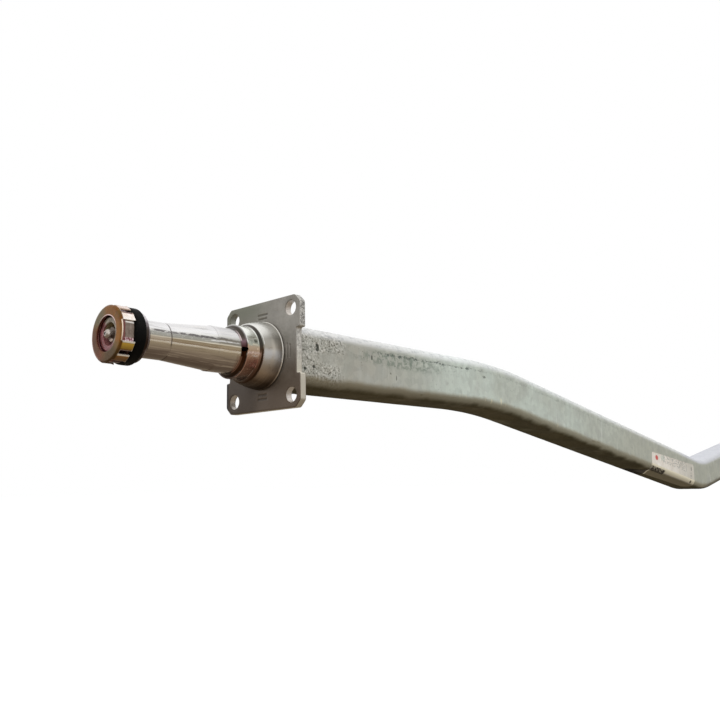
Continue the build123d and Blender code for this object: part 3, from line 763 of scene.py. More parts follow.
def yellow_zinc(f):
    """Yellow passivation on the pressed cup: gold-brown with rainbow tints and bright cut edges, with light
    and shade painted on its side and round its hole.
    """
    level, radius = f.height_round()
    drift = f.noise(75, 3, 0.55, distortion=0.8)
    moved = f.out("Mapping", {"Vector": f.lay, "Location": (0.3, 0.1, 0.2)})
    second = f.noise(120, 3, 0.55, moved, 1.2)
    fine = f.noise(900, 3, 0.6)
    far_rim = f.times(f.ramp(f.y, 0.006, 0.014), f.ramp(radius, 0.0170, 0.0184))
    hole_rim_highlight = f.times(f.ramp(radius, 0.01240, 0.01255), f.ramp(radius, 0.01330, 0.01300))
    mouth = f.most(
        f.times(f.ramp(radius, 0.0126, 0.01245), f.ramp(f.x, 0.1368, 0.1365)),
        f.times(f.ramp(radius, 0.0170, 0.0165), f.ramp(f.x, 0.1361, 0.1359)),
    )
    # The side, painted by height: pale above where the light falls, gold lower down and dark brown at the
    # bottom, with painted highlights on the openings' lower edges and painted shade in the slots
    side = f.ramp(f.x, 0.1356, 0.1347)
    shade = f.scale_of(
        level,
        (-1.0, 52, 36, 22), (-0.80, 84, 54, 24), (-0.745, 104, 68, 28), (-0.735, 222, 202, 180),
        (-0.695, 240, 224, 206), (-0.66, 70, 36, 34), (-0.54, 76, 46, 24), (-0.50, 112, 84, 30),
        (-0.34, 148, 114, 40), (-0.315, 120, 96, 36), (-0.305, 250, 240, 224), (-0.25, 250, 242, 230),
        (0.25, 214, 178, 130), (0.46, 246, 240, 234), (0.66, 246, 236, 230), (0.675, 244, 230, 222),
        (0.69, 84, 38, 40), (0.855, 92, 44, 46), (0.87, 240, 222, 214), (1.0, 196, 176, 166),
    )
    tinted = f.times(f.ramp(second, 0.46, 0.60, 0, 0.3), f.ramp(level, -0.6, 0.1, 0.15, 1))
    shade = f.mix(tinted, shade, (206, 180, 150))
    # Where the sheet was cut the metal is bright; the mesh marks those edges
    rim = f.add("Attribute", {}, attribute_name="rim").outputs["Fac"]
    sideways = f.over_radius(f.math("ABSOLUTE", f.y), radius)
    wide = f.ramp(radius, 0.0150, 0.0160)
    bright = f.mix(f.ramp(level, 0.1, -0.1), (252, 240, 222), seen_at(-1, 224, 204, 176))
    gold = f.mix(f.ramp(drift, 0.38, 0.6), (104, 62, 20), (124, 80, 30))
    gold = f.layers(
        gold,
        ((92, 84, 50), f.ramp(second, 0.52, 0.66, 0, 0.4)),
        ((138, 88, 22), f.patch(y=(-15, 3), z=(-3, 8), soft=0.8), 0.7),
        # Orange low on the far side, grey-green above, olive-gold below, mauve round the far rim
        ((138, 66, 34), f.patch(y=(9, 4), z=(-13.5, 3.5), soft=0.9), 0.5),
        ((98, 98, 76), f.patch(y=(11, 9), z=(13, 7), soft=0.9), 0.7),
        ((128, 88, 26), f.patch(y=(-4, 6), z=(-15, 5), soft=0.9), 0.6),
        ((96, 84, 50), f.patch(y=(-12, 6), z=(-12, 5), soft=0.9), 0.5),
        ((72, 42, 30), f.ramp(f.y, -0.004, 0.014), f.ramp(level, 0.5, 0.0), 0.7),
        ((56, 46, 30), f.ramp(level, -0.45, -0.85), f.ramp(f.y, 0.008, -0.002), 0.75),
        ((158, 112, 92), far_rim, f.ramp(level, 0.5, 0.0), 0.5),
        # A painted highlight on the upper rim of the hole
        ((236, 208, 206), hole_rim_highlight, f.ramp(level, 0.35, 0.8), f.ramp(f.y, 0.010, -0.004, 0.35, 1), 0.85),
        ((172, 100, 98), mouth, 0.95),
        (shade, side),
        # A painted highlight along the bend at the sides
        ((246, 226, 206), f.ramp(f.apart(f.x, 0.1360), 0.00040, 0.00020), f.ramp(sideways, 0.925, 0.94),
         wide, 0.85),
        (bright, f.ramp(rim, 0.80, 0.95), f.ramp(level, -0.98, -0.80), wide, 0.9),
        # Painted shade on the inside of the side wall
        ((88, 40, 42), f.ramp(radius, 0.01945, 0.01925), side, 0.9),
        ((88, 56, 40), f.ramp(fine, 0.6, 0.75, 0, 0.25)),
    )
    height = f.plus(fine, f.times(second, 2.0))
    rough = f.ramp(second, 0.3, 0.7, 0.24, 0.38)
    return f.done(gold, rough, f.ramp(mouth, 0, 1, 0.85, 0.2), f.relief(height, 0.00003, 0.5))


def fitting_steel(f):
    """The grease fitting: pale steel, with painted shade underneath, in its mouth and at its foot, and a
    painted highlight low on its hexagon.
    """
    cloud = f.noise(320, 4, 0.6)
    colour = f.mix(f.ramp(cloud, 0.35, 0.65), (160, 150, 142), (206, 198, 190))
    colour = f.layers(
        colour,
        ((120, 100, 86), f.ramp(f.z, 0.0002, -0.0026, 0, 0.6)),
        ((84, 66, 54), f.ramp(f.x, 0.1336, 0.1330, 0, 0.85)),
        ((206, 186, 172), f.patch(y=(0, 2.6), z=(-4.6, 1.7)), 0.8),
        ((20, 14, 12), f.ramp(f.length(f.y, f.z), 0.00112, 0.00095), f.ramp(f.x, 0.1368, 0.1372)),
    )
    rings = f.streaks((4000, 30, 30), 3, 0.6)
    return f.done(colour, f.ramp(cloud, 0.3, 0.7, 0.3, 0.45), 0.55, f.relief(rings, 0.00002, 0.6))


def plain_steel(f, light, dark, roughness):
    """A small hidden steel piece, worked from its place in the frame."""
    cloud = f.noise(900, 3, 0.6, f.add("TexCoord", {}).outputs["Object"])
    rough = f.ramp(cloud, 0.3, 0.7, roughness, roughness + 0.12)
    return f.done(f.mix(f.ramp(cloud, 0.35, 0.65), dark, light), rough, 1.0, f.relief(cloud, 0.00001, 0.5))


def ball_steel(f):
    return plain_steel(f, (190, 190, 192), (150, 150, 152), 0.15)


def spring_steel(f):
    return plain_steel(f, (110, 108, 106), (70, 68, 66), 0.35)


def label_film(f):
    """Off-white film with plain fields of colour where a label has its print, and painted shade where it
    wraps underneath.
    """
    cloud = f.noise(60, 4, 0.6)
    bars = f.streaks((190, 1, 520), 1, 0.5)
    zone = f.times(f.ramp(f.x, 0.796, 0.800), f.ramp(f.x, 0.912, 0.906), f.ramp(f.z, -0.009, -0.006))
    dark = f.times(f.ramp(f.x, 0.758, 0.761), f.ramp(f.x, 0.816, 0.812), f.ramp(f.z, -0.0182, -0.0195))
    hatch = f.ramp(f.streaks((330, 120, 330), 2, 0.6), 0.44, 0.52)
    # Underneath, the left end is lifted: a slanting light edge with a black shadow outboard of it
    curve = f.minus(f.x, f.ramp(f.y, -0.0215, 0.0080, 0.7600, 0.7960))
    # Short marks stand one under the other at the right end
    end_marks = (1.6, 1.5, 4.0), (1.3, -6.0, 1.4), (1.5, -10.6, 1.4), (1.2, -14.4, 0.9), (3.4, -20.4, 2.4)
    end_marks = f.spots(
        *((928 + max(0.0, z + 16) * 0.15, wide, z, high, 1) for wide, z, high in end_marks), soft=0.5
    )
    film = f.mix(f.ramp(cloud, 0.35, 0.7), (230, 222, 211), (250, 244, 236))
    film = f.layers(
        film,
        ((188, 185, 174), f.ramp(f.x, 0.80, 0.93, 0, 0.6)),
        ((246, 238, 214), f.between(f.z, -0.0225, -0.0155, 0.001)),
        # Painted shade on the part underneath
        ((128, 121, 96), f.ramp(f.z, -0.0222, -0.0246, 0, 0.95)),
        ((5, 3, 1), f.ramp(f.z, -0.0232, -0.0244), f.ramp(curve, 0.0004, -0.0004)),
        ((250, 246, 232), f.ramp(f.z, -0.0200, -0.0236), f.between(curve, 0.0006, 0.0052, 0.0005), 0.95),
        ((204, 58, 50), f.patch(x=(778, 5.5), z=(-4.5, 3.8), soft=0.35),
         f.ramp(f.noise(170, 3), 0.30, 0.46), 0.9),
        ((168, 190, 176), f.patch(x=(803, 9), z=(-1, 4), soft=0.6), 0.35),
        ((120, 122, 120), f.ramp(bars, 0.53, 0.57), zone, 0.55),
        ((34, 28, 20), dark, f.ramp(f.z, -0.0253, -0.0250), f.ramp(hatch, 0, 1, 0.45, 1.0)),
        ((44, 38, 32), end_marks, f.ramp(f.noise(400, 2), 0.25, 0.42), 0.85),
    )
    height = f.plus(cloud, f.times(f.noise(500, 3), 0.3))
    return f.done(film, 0.5, 0.0, f.relief(height, 0.0004, 0.5), 0.1)


finishes = {paint.__name__: paint(Finish(paint.__name__)) for paint in (
    galvanised_tube, galvanised_plate, weld_zinc, machined_steel, washer_steel, black_rubber, nut_steel,
    yellow_zinc, fitting_steel, label_film, ball_steel, spring_steel,
)}


# The beam

both_bends = shoulder_radius + keel_radius
arc_length = shoulder_radius * bend_angle
slope_length = (half_span - straight_end - both_bends * sin(bend_angle)) / cos(bend_angle)
path_length = 2 * (straight_end + both_bends * bend_angle + slope_length)


def path_point(s):
    """Centre line at a distance from the left flange's outer face: X, Z and the slope there."""
    if s > path_length / 2:
        x, z, slope = path_point(path_length - s)
        return -x, z, -slope
    if s <= straight_end:
        return s - half_span, 0.0, 0.0
    bend_start = straight_end - half_span
    s -= straight_end
    turn = min(s / shoulder_radius, bend_angle)
    x = bend_start + shoulder_radius * sin(turn)
    z = -shoulder_radius * (1 - cos(turn))
    if s <= arc_length:
        return x, z, -turn
    s -= arc_length
    z -= min(s, slope_length) * sin(bend_angle)
    if s <= slope_length:
        return x + s * cos(bend_angle), z, -bend_angle
    turn = bend_angle - (s - slope_length) / keel_radius
    return -keel_radius * sin(turn), z - keel_radius * (cos(turn) - cos(bend_angle)), -turn


def on_tube(s, y, z):
    """Bends a point of the straight tube along the beam's path."""
    x0, z0, slope = path_point(s)
    return x0 - z * sin(slope), y, z0 + z * cos(slope)


def section_outline(half, corner, flat_parts=14, corner_parts=12):
    """A square's outline with round corners, with each point's own outward direction."""
    out = []
    flat = half - corner
    for quarter in range(4):
        turn = quarter * pi / 2
        forward = Vector((cos(turn), sin(turn)))
        left = Vector((-sin(turn), cos(turn)))
        for k in range(flat_parts):
            out.append((forward * half + left * flat * (2 * k / flat_parts - 1), forward))
        for k in range(corner_parts):
            angle = turn + k / corner_parts * pi / 2
            way = Vector((cos(angle), sin(angle)))
            out.append(((forward + left) * flat + way * corner, way))
    return out


# Lumps and dents in the zinc on the beam's front: where along it, height, half width, half height and
# how far they stand out
ZINC_LUMPS = (
    (38, 8, 2.4, 3.8, -0.5), (34, -8, 1.8, 1.8, -0.4), (24, -10.5, 1.9, 1.6, -0.4), (107, 7, 2.0, 2.4, -0.3),
    (291, 7, 3.6, 1.9, -0.3), (5, -15, 4.5, 4.0, 0.8), (326, -18, 3.4, 7.0, 0.5), (452, -18, 3.4, 7.0, 0.3),
    (300, -18, 3.4, 7.0, 0.25), (168, -18, 3.4, 7.0, 0.3), (236, -18, 3.4, 7.0, 0.2),
)


def zinc_skin(s, y, z):
    """How far the zinc stands proud of the steel at a place on the straight tube."""
    grit_end, grit_wander, grit_fade, thickest = 84, 14, 22, 0.55
    spot = Vector((s, y, z))
    from_end = min(s, path_length - s)
    wave = noise.noise(spot / 26) * 0.07 + noise.noise(spot / 7) * 0.03
    grit_zone = (grit_end - from_end - grit_wander * noise.noise(spot / 16)) / grit_fade
    grit = noise.noise(spot / 1.7) * 0.20 + noise.noise(spot / 3.4) * 0.16
    rise = wave + max(0.0, min(1.0, grit_zone)) * grit
    if y <= 0:
        for at_s, at_z, half_s, half_z, size in ZINC_LUMPS:
            away = ((s - at_s) / half_s) ** 2 + ((z - at_z) / half_z) ** 2
            if away < 1:
                rise += size * (1 - away) ** 2
    # Drips hang as ridges down the front's lower corner
    if y < 0 and -24 < z < -8:
        comb = noise.noise(Vector((s / 7.0, 3.1, 0.7)))
        rise += max(0.0, comb - 0.2) * 0.25 * (1 - abs(z + 16) / 8)
    return min(rise, thickest)


def beam_stations():
    """Distances along the path, close together where the zinc is gritty or near the camera."""
    gritty = 90
    stretches = (
        (gritty, 0.95), (straight_end, 1.7), (380, 2.4), (path_length - gritty, 3.6),
        (path_length - flange_thickness, 1.1),
    )
    out = [flange_thickness]
    for stop, step in stretches:
        start = out[-1]
        parts = max(1, round((stop - start) / step))
        out += [start + (stop - start) * k / parts for k in range(1, parts + 1)]
    return out


def make_beam():
    skin = section_outline(tube_half, tube_corner)
    hollow = section_outline(tube_half - tube_wall, tube_corner - tube_wall)
    stations = beam_stations()
    keel_floor = box_mm("axle_beam")[0].z
    points, lay, outer, inner = [], [], [], []
    for s in stations:
        outer.append(range(len(points), len(points) + len(skin)))
        for (y, z), way in skin:
            rise = zinc_skin(s, y, z)
            x, y_here, z_here = on_tube(s, y + way.x * rise, z + way.y * rise)
            points.append((x, y_here, max(z_here, keel_floor)))
            lay.append((s, y, z))
    inner_stations = stations[::12]
    if inner_stations[-1] != stations[-1]:
        inner_stations.append(stations[-1])
    for s in inner_stations:
        inner.append(range(len(points), len(points) + len(hollow)))
        for spot, _ in hollow:
            points.append(on_tube(s, *spot))
            lay.append((s, 0, 0))
    rings = inner[::-1] + outer
    faces = loop_bridge(outer[-1], inner[-1])
    for one, two in zip(rings, rings[1:]):
        faces += loop_bridge(one, two)
    make_piece("axle_beam_skin", "axle_beam", "galvanised_tube", points, faces, lay=lay)


def make_label():
    """A film that follows the tube's front, its lower corner and a little of its underside."""
    length, tilt, corner = 185.0, radians(2.8), 5.0
    before_bend, on_underside = 17.0, 16.0
    crease_height, curl_height, curl_width = 0.10, 0.16, 1.5
    top, bottom = 6.0, tube_flat + tube_corner * pi / 2 + on_underside
    middle = straight_end + arc_length + slope_length - before_bend - length / 2
    columns, rows = 130, 56
    front, back = 0.22, 0.03

    def unrolled(s, down, out):
        """Where a place on the film lies. Down is measured along the surface, from the front's middle."""
        stand = tube_half + out
        if down <= tube_flat:
            return s, -stand, -down
        turn = (down - tube_flat) / tube_corner
        if turn < pi / 2:
            bend = tube_corner + out
            return s, -tube_flat - bend * cos(turn), -tube_flat - bend * sin(turn)
        return s, -tube_flat + (turn - pi / 2) * tube_corner, -stand

    def film_point(layer, i, j):
        along = length * (i / columns - 0.5)
        inset = length / 2 - abs(along)
        cut = corner - sqrt(corner**2 - (corner - inset) ** 2) if inset < corner else 0.0
        down = -top + cut + (bottom + top - 2 * cut) * j / rows
        s = middle + along * cos(tilt) + down * sin(tilt)
        p = down * cos(tilt) - along * sin(tilt)
        if layer == back:
            return unrolled(s, p, layer)
        crease = noise.noise(Vector((s / 14, p / 9, 2.0))) * crease_height
        from_edge = min(inset, down + top, bottom - down)
        curl = curl_height * max(0.0, 1 - from_edge / curl_width)
        return unrolled(s, p, layer + max(0.0, crease) + curl)

    lay = [
        film_point(layer, i, j)
        for layer in (front, back) for i in range(columns + 1) for j in range(rows + 1)
    ]
    upper = [[i * (rows + 1) + j for j in range(rows + 1)] for i in range(columns + 1)]
    lower = [[v + len(lay) // 2 for v in column] for column in upper]
    faces = []
    for i in range(columns):
        for j in range(rows):
            faces.append([upper[i][j], upper[i + 1][j], upper[i + 1][j + 1], upper[i][j + 1]])
            faces.append([lower[i][j + 1], lower[i + 1][j + 1], lower[i + 1][j], lower[i][j]])
    rim = [(i, 0) for i in range(columns)] + [(columns, j) for j in range(rows)]
    rim += [(i, rows) for i in range(columns, 0, -1)] + [(0, j) for j in range(rows, 0, -1)]
    faces += loop_bridge([upper[i][j] for i, j in rim], [lower[i][j] for i, j in rim])
    points = [on_tube(*spot) for spot in lay]
    make_piece("label_film", "centre_label", "label_film", points, faces, lay=lay)


# The flange and its welds

def flange_outline():
    """A square plate with cut, rounded corners and a notch in each upright side, anticlockwise."""
    half, cut = flange_half, 5.5
    notch_half, notch_deep = 18.0, 4.0
    side = [
        (half - cut, half), (-half + cut, half), (-half, half - cut), (-half, notch_half),
        (-half + notch_deep, notch_half), (-half + notch_deep, -notch_half), (-half, -notch_half),
        (-half, -half + cut),
    ]
    outline = side + [(-y, -z) for y, z in side]
    return refine(soften(outline, 1.4, 4, closed=True), 2.5, closed=True)


def circle_outline(y, z, radius, count):
    turns = (-2 * pi * k / count for k in range(count))
    return [Vector((y + radius * cos(turn), z + radius * sin(turn))) for turn in turns]


def inset_loop(loop, distance):
    """Moves a closed outline to its left, which is inwards for an anticlockwise one."""
    out = []
    for i, p in enumerate(loop):
        way = loop[(i + 1) % len(loop)] - loop[i - 1]
        way.normalize()
        out.append(p + Vector((-way.y, way.x)) * distance)
    return out


def in_hole(p, bolt_clearance, bore_clearance):
    """True if p lies in the bore or a bolt hole, or nearer to one than its clearance."""
    if p.length < flange_bore + bore_clearance:
        return True
    from_bolt = Vector((abs(p.x) - bolt_place, abs(p.y) - bolt_place))
    return from_bolt.length < bolt_radius + bolt_clearance


def in_loop(p, outline):
    """True if p lies inside an outline, counted by the sides that a ray crosses."""
    inside = False
    for a, b in zip(outline, outline[1:] + outline[:1]):
        if (a.y > p.y) != (b.y > p.y) and p.x < (b.x - a.x) * (p.y - a.y) / (b.y - a.y) + a.x:
            inside = not inside
    return inside


# Plain press marks in the flange's face: middle and half size of each bar, and the zones round them
PRESSED_BARS = (
    (-1.5, 33.6, 6.0, 0.7), (-1.5, 30.4, 5.2, 0.7), (-1.0, -31.8, 5.2, 0.7), (-1.0, -35.2, 5.6, 0.7),
    (-30.2, 0.5, 0.7, 6.0), (-33.4, 0.0, 0.7, 5.2),
)
PRESSED_ZONES = (-8.5, 28.5, 5.5, 35.6), (-7.8, -37.0, 5.8, -30.0), (-35.2, -7.0, -28.4, 7.6)


def pressed_depth(p):
    depth, slope = 0.35, 0.5
    for y, z, half_y, half_z in PRESSED_BARS:
        away = max(abs(p.x - y) - half_y, abs(p.y - z) - half_z)
        if away < depth:
            return depth * min(1.0, (depth - away) / slope)
    return 0.0


def inner_grid():
    """Points of a plain grid well inside the plate, finer where the press marks are."""
    coarse, fine, clear = 2.6, 0.42, 1.2
    low = 2.0 - flange_half
    count = int(-2 * low / coarse) + 1
    spots = []
    for y, z in ((low + coarse * i, low + coarse * j) for i in range(count) for j in range(count)):
        if not any(a < y < c and b < z < d for a, b, c, d in PRESSED_ZONES):
            spots.append((y, z))
    for low_y, low_z, high_y, high_z in PRESSED_ZONES:
        for i in range(int((high_y - low_y) / fine)):
            for j in range(int((high_z - low_z) / fine)):
                spots.append((low_y + fine * (i + 0.5), low_z + fine * (j + 0.5)))

    def is_clear(y, z):
        in_notch = abs(y) > flange_half - 5.6 and abs(z) < 20
        past_corner = abs(y) + abs(z) > 2 * flange_half - 8.5
        return not (in_notch or past_corner or in_hole(Vector((y, z)), clear, clear))

    return [Vector(spot) for spot in spots if is_clear(*spot)]


def make_flange(end):
    edge, steps = 0.45, 3
    loops = [flange_outline(), circle_outline(0, 0, flange_bore, 96)]
    corners = [(y, z) for y in (-bolt_place, bolt_place) for z in (-bolt_place, bolt_place)]
    loops += [circle_outline(y, z, bolt_radius, 40) for y, z in corners]
    points, faces = [], []
    caps = [], []
    for loop in loops:
        rings = []
        # Round the outer face's edge, then round the inner face's
        for depth, way in ((0, 1), (-flange_thickness, -1)):
            for across, along in quarter_round(steps)[::way]:
                rings.append(list(range(len(points), len(points) + len(loop))))
                deep = depth - way * edge * (1 - across)
                points += [(deep, p.x, p.y) for p in inset_loop(loop, edge * (1 - along))]
        for cap, ring in zip(caps, (rings[0], rings[-1])):
            cap.append(ring)
        for one, two in zip(rings, rings[1:]):
            faces += loop_bridge(one, two)
    for side, rings in enumerate(caps):
        fill_face(side, rings, edge, points, faces)
    make_piece("flange_plate", "brake_flange", "galvanised_plate", points, faces, end, sharp=40)


def fill_face(side, rings, edge, points, faces):
    """Fills a face of the plate between its rings of points, with slight dents and the press marks."""
    flat, edges, known = [], [], []
    for ring in rings:
        start, count = len(flat), len(ring)
        flat += [Vector(points[v][1:]) for v in ring]
        known += ring
        edges += [(start + k, start + (k + 1) % count) for k in range(count)]
    outline = flat[:len(rings[0])]
    coords, _, triangles, origin, *_ = delaunay_2d_cdt(flat + inner_grid(), edges, [], 0, 1e-6)
    depth = points[rings[0][0]][0]
    index = []
    for co, sources in zip(coords, origin):
        on_ring = [known[o] for o in sources if o < len(known)]
        if on_ring:
            index.append(on_ring[0])
            continue
        index.append(len(points))
        dent = noise.noise(Vector((co.x / 17, co.y / 17, side * 5.0))) * 0.06
        points.append((depth + (-dent if side else dent - pressed_depth(co)), co.x, co.y))
    for face in triangles:
        middle = sum((coords[v] for v in face), Vector((0, 0))) / 3
        if in_loop(middle, outline) and not in_hole(middle, edge - 0.03, edge - 0.02):
            faces.append([index[v] for v in face])


def make_welds(end):
    """Two beads of overlapping ripples, on the front and back of the tube."""
    leg, ripple, sunk = 5.0, 2.7, 0.4
    rows, steps = 110, 14
    points, faces = [], []
    for side in (-1, 1):
        previous = None
        for i in range(rows + 1):
            z = -tube_flat + 2 * tube_flat * i / rows
            phase = (z / ripple + 0.2 * noise.noise(Vector((z / 6, side, 0)))) % 1.0
            swell = 0.92 + 0.13 * sqrt(max(0.0, 1 - (2 * phase - 1) ** 2))
            swell += 0.05 * noise.noise(Vector((z / 5, side * 3.0, 1)))
            taper = min(1.0, 0.45 + (tube_flat - abs(z)) / 3.5)
            bead = [(-flange_thickness, side * (tube_half - sunk), z)]
            for k in range(steps + 1):
                a = pi / 2 * k / steps
                out = leg * swell * taper * (0.74 + 0.26 * abs(cos(2 * a)))
                out += 0.10 * noise.noise(Vector((z / 1.3, a * 3, side)))
                bead.append((-flange_thickness - out * sin(a), side * (tube_half + out * cos(a)), z))
            bead.append((-flange_thickness - leg * taper, side * (tube_half - sunk), z))
            ring = list(range(len(points), len(points) + len(bead)))
            points += bead
            faces += loop_bridge(previous, ring) if previous else [ring[::-1]]
            previous = ring
        faces.append(previous)
    make_piece("weld_beads", "flange_weld", "weld_zinc", points, faces, end, sharp=50)


# The spindle

thread_start, thread_pitch, thread_depth = 112.1, 25.4 / 14, 1.05
thread_radius = 12.7
socket_end, socket_radius, socket_mouth = 128.2, 4.85, 7.7


def hollow_arc(start, stop):
    """The points of a hollow fillet, from a step's edge down to the turned face beside it."""
    return [
        (stop[0] - (stop[0] - start[0]) * across, start[1] - (start[1] - stop[1]) * along)
        for across, along in quarter_round(9, first=1)
    ]


def spindle_profile():
    """The turned outline from the shank's end to the spindle's end, then back down the grease passage."""
    shank, foot, passage = 20.44, 26.1, 3.0
    collar_end, collar_radius = 17.7, 23.9
    land_start, land_end, land_radius = 21.5, 31.7, 21.3
    inner_seat, outer_seat, seat_start, step_start, step_end = 17.46, 13.49, 34.6, 93.5, 94.5
    outside = [
        (shank_start, 0), (shank_start, shank - 3), (shank_start + 3, shank), (0, shank), (0, foot),
        (0.9, foot), (0.9, 27.4), (1.15, 27.7), (1.65, 27.7), (1.9, 27.3),
    ]
    collar = [
        (1.8 + 15.9 * t, 27.3 - 3.4 * t + 4 * 0.6 * t * (1 - t)) for t in (k / 24 for k in range(1, 25))
    ]
    land = hollow_arc((collar_end, collar_radius), (land_start, land_radius))
    land += [(land_end - 0.3, land_radius), (land_end, land_radius - 0.3)]
    land += hollow_arc((land_end, land_radius - 0.3), (seat_start, inner_seat))
    seats = [
        (seat_start, inner_seat), (54.0, inner_seat), (54.5, inner_seat - 0.5), (step_start, outer_seat),
        (step_start, outer_seat - 0.3), (step_end, outer_seat - 0.3), (step_end, outer_seat),
        (111.2, outer_seat), (112.0, thread_radius),
    ]
    tip = [
        (spindle_end - 1.3, thread_radius), (spindle_end, thread_radius - 1.3), (spindle_end, 8.2),
        (spindle_end - 0.5, socket_mouth), (socket_end, socket_mouth), (socket_end, socket_radius),
        (socket_end - 10, socket_radius), (socket_end - 10, passage), (30.2, passage), (28.2, 0),
    ]
    first = soften(outside, 0.22, 3) + collar + land + soften(seats, 0.12, 3)
    thread = [(thread_start + 0.1, thread_radius), (spindle_end - 1.4, thread_radius)]
    return refine(first, 3.0) + refine(thread, thread_pitch / 10) + refine(soften(tip, 0.25, 3), 4.0)


def threaded(outboard, r, angle):
    """Cuts a right-hand thread into the spindle's end."""
    if not thread_start < outboard < spindle_end - 1.0 or r < 12:
        return r
    phase = (outboard / thread_pitch - angle / (2 * pi)) % 1.0
    cut = max(0.0, min(1.0, 1.25 - 2.5 * abs(phase - 0.5)))
    fade = min(1.0, (outboard - thread_start) / thread_pitch)
    return r - thread_depth * (1 - cut) * fade


def make_spindle(end):
    shape = revolved(spindle_profile(), 176, radius=threaded)
    piece = make_piece("turned_spindle", "spindle", "machined_steel", *shape, end, sharp=28)
    drill_cross_hole(piece, end)


def drill_cross_hole(piece, end):
    """Cuts the grease hole at the shoulder, and restores lay after the cut."""
    outboard, radius, length, dip = 33.15, 1.9, 26, radians(2.0)
    points, faces = revolved([(0, 0), (0, radius), (length, radius), (length, 0)], 40)
    turned = [
        (outboard + a, -out * cos(dip) + b * sin(dip), -out * sin(dip) + b * cos(dip)) for out, a, b in points
    ]
    mesh = bpy.data.meshes.new("drill")
    mesh.from_pydata(place(turned, end).tolist(), [], faces)
    work = bmesh.new()
    work.from_mesh(mesh)
    bmesh.ops.recalc_face_normals(work, faces=work.faces)
    work.to_mesh(mesh)
    work.free()
    drill = linked("drill", mesh)
    cut = piece.modifiers.new("cross_hole", "BOOLEAN")
    cut.operation = "DIFFERENCE"
    cut.solver = "EXACT"
    cut.object = drill
    apply_modifiers(piece, 28)
    bpy.data.objects.remove(drill)
    positions = np.zeros(len(piece.data.vertices) * 3)
    piece.data.vertices.foreach_get("co", positions)
    positions = positions.reshape(-1, 3)
    if end == "right":
        positions[:, :2] *= -1
    positions[:, 0] = -positions[:, 0] - half_span * MM
    piece.data.attributes["lay"].data.foreach_set("vector", positions.astype(np.float32).ravel())


# The small parts of an end

def make_washer(end):
    hole, rim = 13.1, washer_radius
    outline = [(washer_start, hole), (washer_start, rim), (ring_start, rim), (ring_start, hole)]
    shape = revolved(refine(soften(outline, 0.45, 4, closed=True), 1.5, closed=True), 120, closed=True)
    make_piece("flat_washer", "spindle_washer", "washer_steel", *shape, end)


def make_rubber_ring(end):
    hole, front, back = 12.95, 2.6, 0.8
    outline = [(ring_start, hole), (ring_start, ring_radius - back)]
    for across, along in quarter_round(7, first=1):
        outline.append((ring_start + back * (1 - across), ring_radius - back * (1 - along)))
    for across, along in quarter_round(9):
        outline.append((nut_start - front * (1 - along), ring_radius - front * (1 - across)))
    outline.append((nut_start, hole))

    def dented(outboard, r, angle):
        if r < 14:
            return r
        return r + noise.noise(Vector((outboard / 4, 4 * cos(angle), 4 * sin(angle)))) * 0.10 - 0.08

    shape = revolved(refine(outline, 1.2, closed=True), 128, True, dented)
    make_piece("packing_ring", "rubber_ring", "black_rubber", *shape, end, sharp=60)


def make_nut(end):
    chamfer, lead, thread, bore = 1.2, 0.6, 12.85, 13.4
    corner = nut_corner_radius
    outline = [
        (nut_start, bore), (nut_start, corner - chamfer), (nut_start + lead, corner),
        (nut_end - lead, corner), (nut_end, corner - chamfer), (nut_end, bore),
        (nut_end - lead, thread), (nut_start + lead, thread),
    ]

    def hexagon(outboard, r, angle):
        return hexagon_radius(nut_flat, r, angle) if r > 14 else r

    shape = revolved(refine(soften(outline, 0.2, 2, closed=True), 0.7, closed=True), 192, True, hexagon)
    make_piece("hex_nut", "spindle_nut", "nut_steel", *shape, end, sharp=24)


# The cup has four windows and four slots, open towards its back: width in degrees, middle of the first
# in degrees, and how far outboard they reach
cup_window = 42.0, 0, nut_start + 9.5
cup_slot = 10.0, 45, nut_start + 8.8
cup_openings = cup_window, cup_slot


def turned_from(degrees, middle):
    """How far an angle is from the nearest of four middles, a quarter turn apart."""
    return min(abs((degrees - n * 90 - middle + 180) % 360 - 180) for n in range(4))


def in_opening(outboard, degrees):
    return any(
        outboard < front and turned_from(degrees, middle) < width / 2 for width, middle, front in cup_openings
    )


def cup_angles():
    """Angles round the cup, with one exactly at each side of an opening."""
    stops = sorted({
        round(n * 90 + middle + side * width / 2, 3) % 360
        for n in range(4) for width, middle, _ in cup_openings for side in (-1, 1)
    })
    angles = []
    for a, b in zip(stops, stops[1:] + [stops[0] + 360]):
        parts = max(3, round((b - a) / 2.4))
        angles += [(a + (b - a) * k / parts) % 360 for k in range(parts)]
    return angles


def cup_outline(foot):
    """From the face's hole over the bend and down the side."""
    hole, bend, face_steps, side_steps = 12.4, 2.2, 4, 14
    outline = [(cup_front, hole + (cup_radius - bend - hole) * k / face_steps) for k in range(face_steps)]
    # The bend has a row exactly where the openings' front edges are
    turns = [pi / 2 * k / 8 for k in (0, 1, 2, 3, 4, 5, 8)]
    turns += [acos(1 - (cup_front - front) / bend) for _, _, front in cup_openings]
    for a in sorted(turns):
        outline.append((cup_front - bend * (1 - cos(a)), cup_radius - bend * (1 - sin(a))))
    start = cup_front - bend
    for k in range(1, side_steps + 1):
        outline.append((start + (foot - start) * k / side_steps, cup_radius))
    return outline


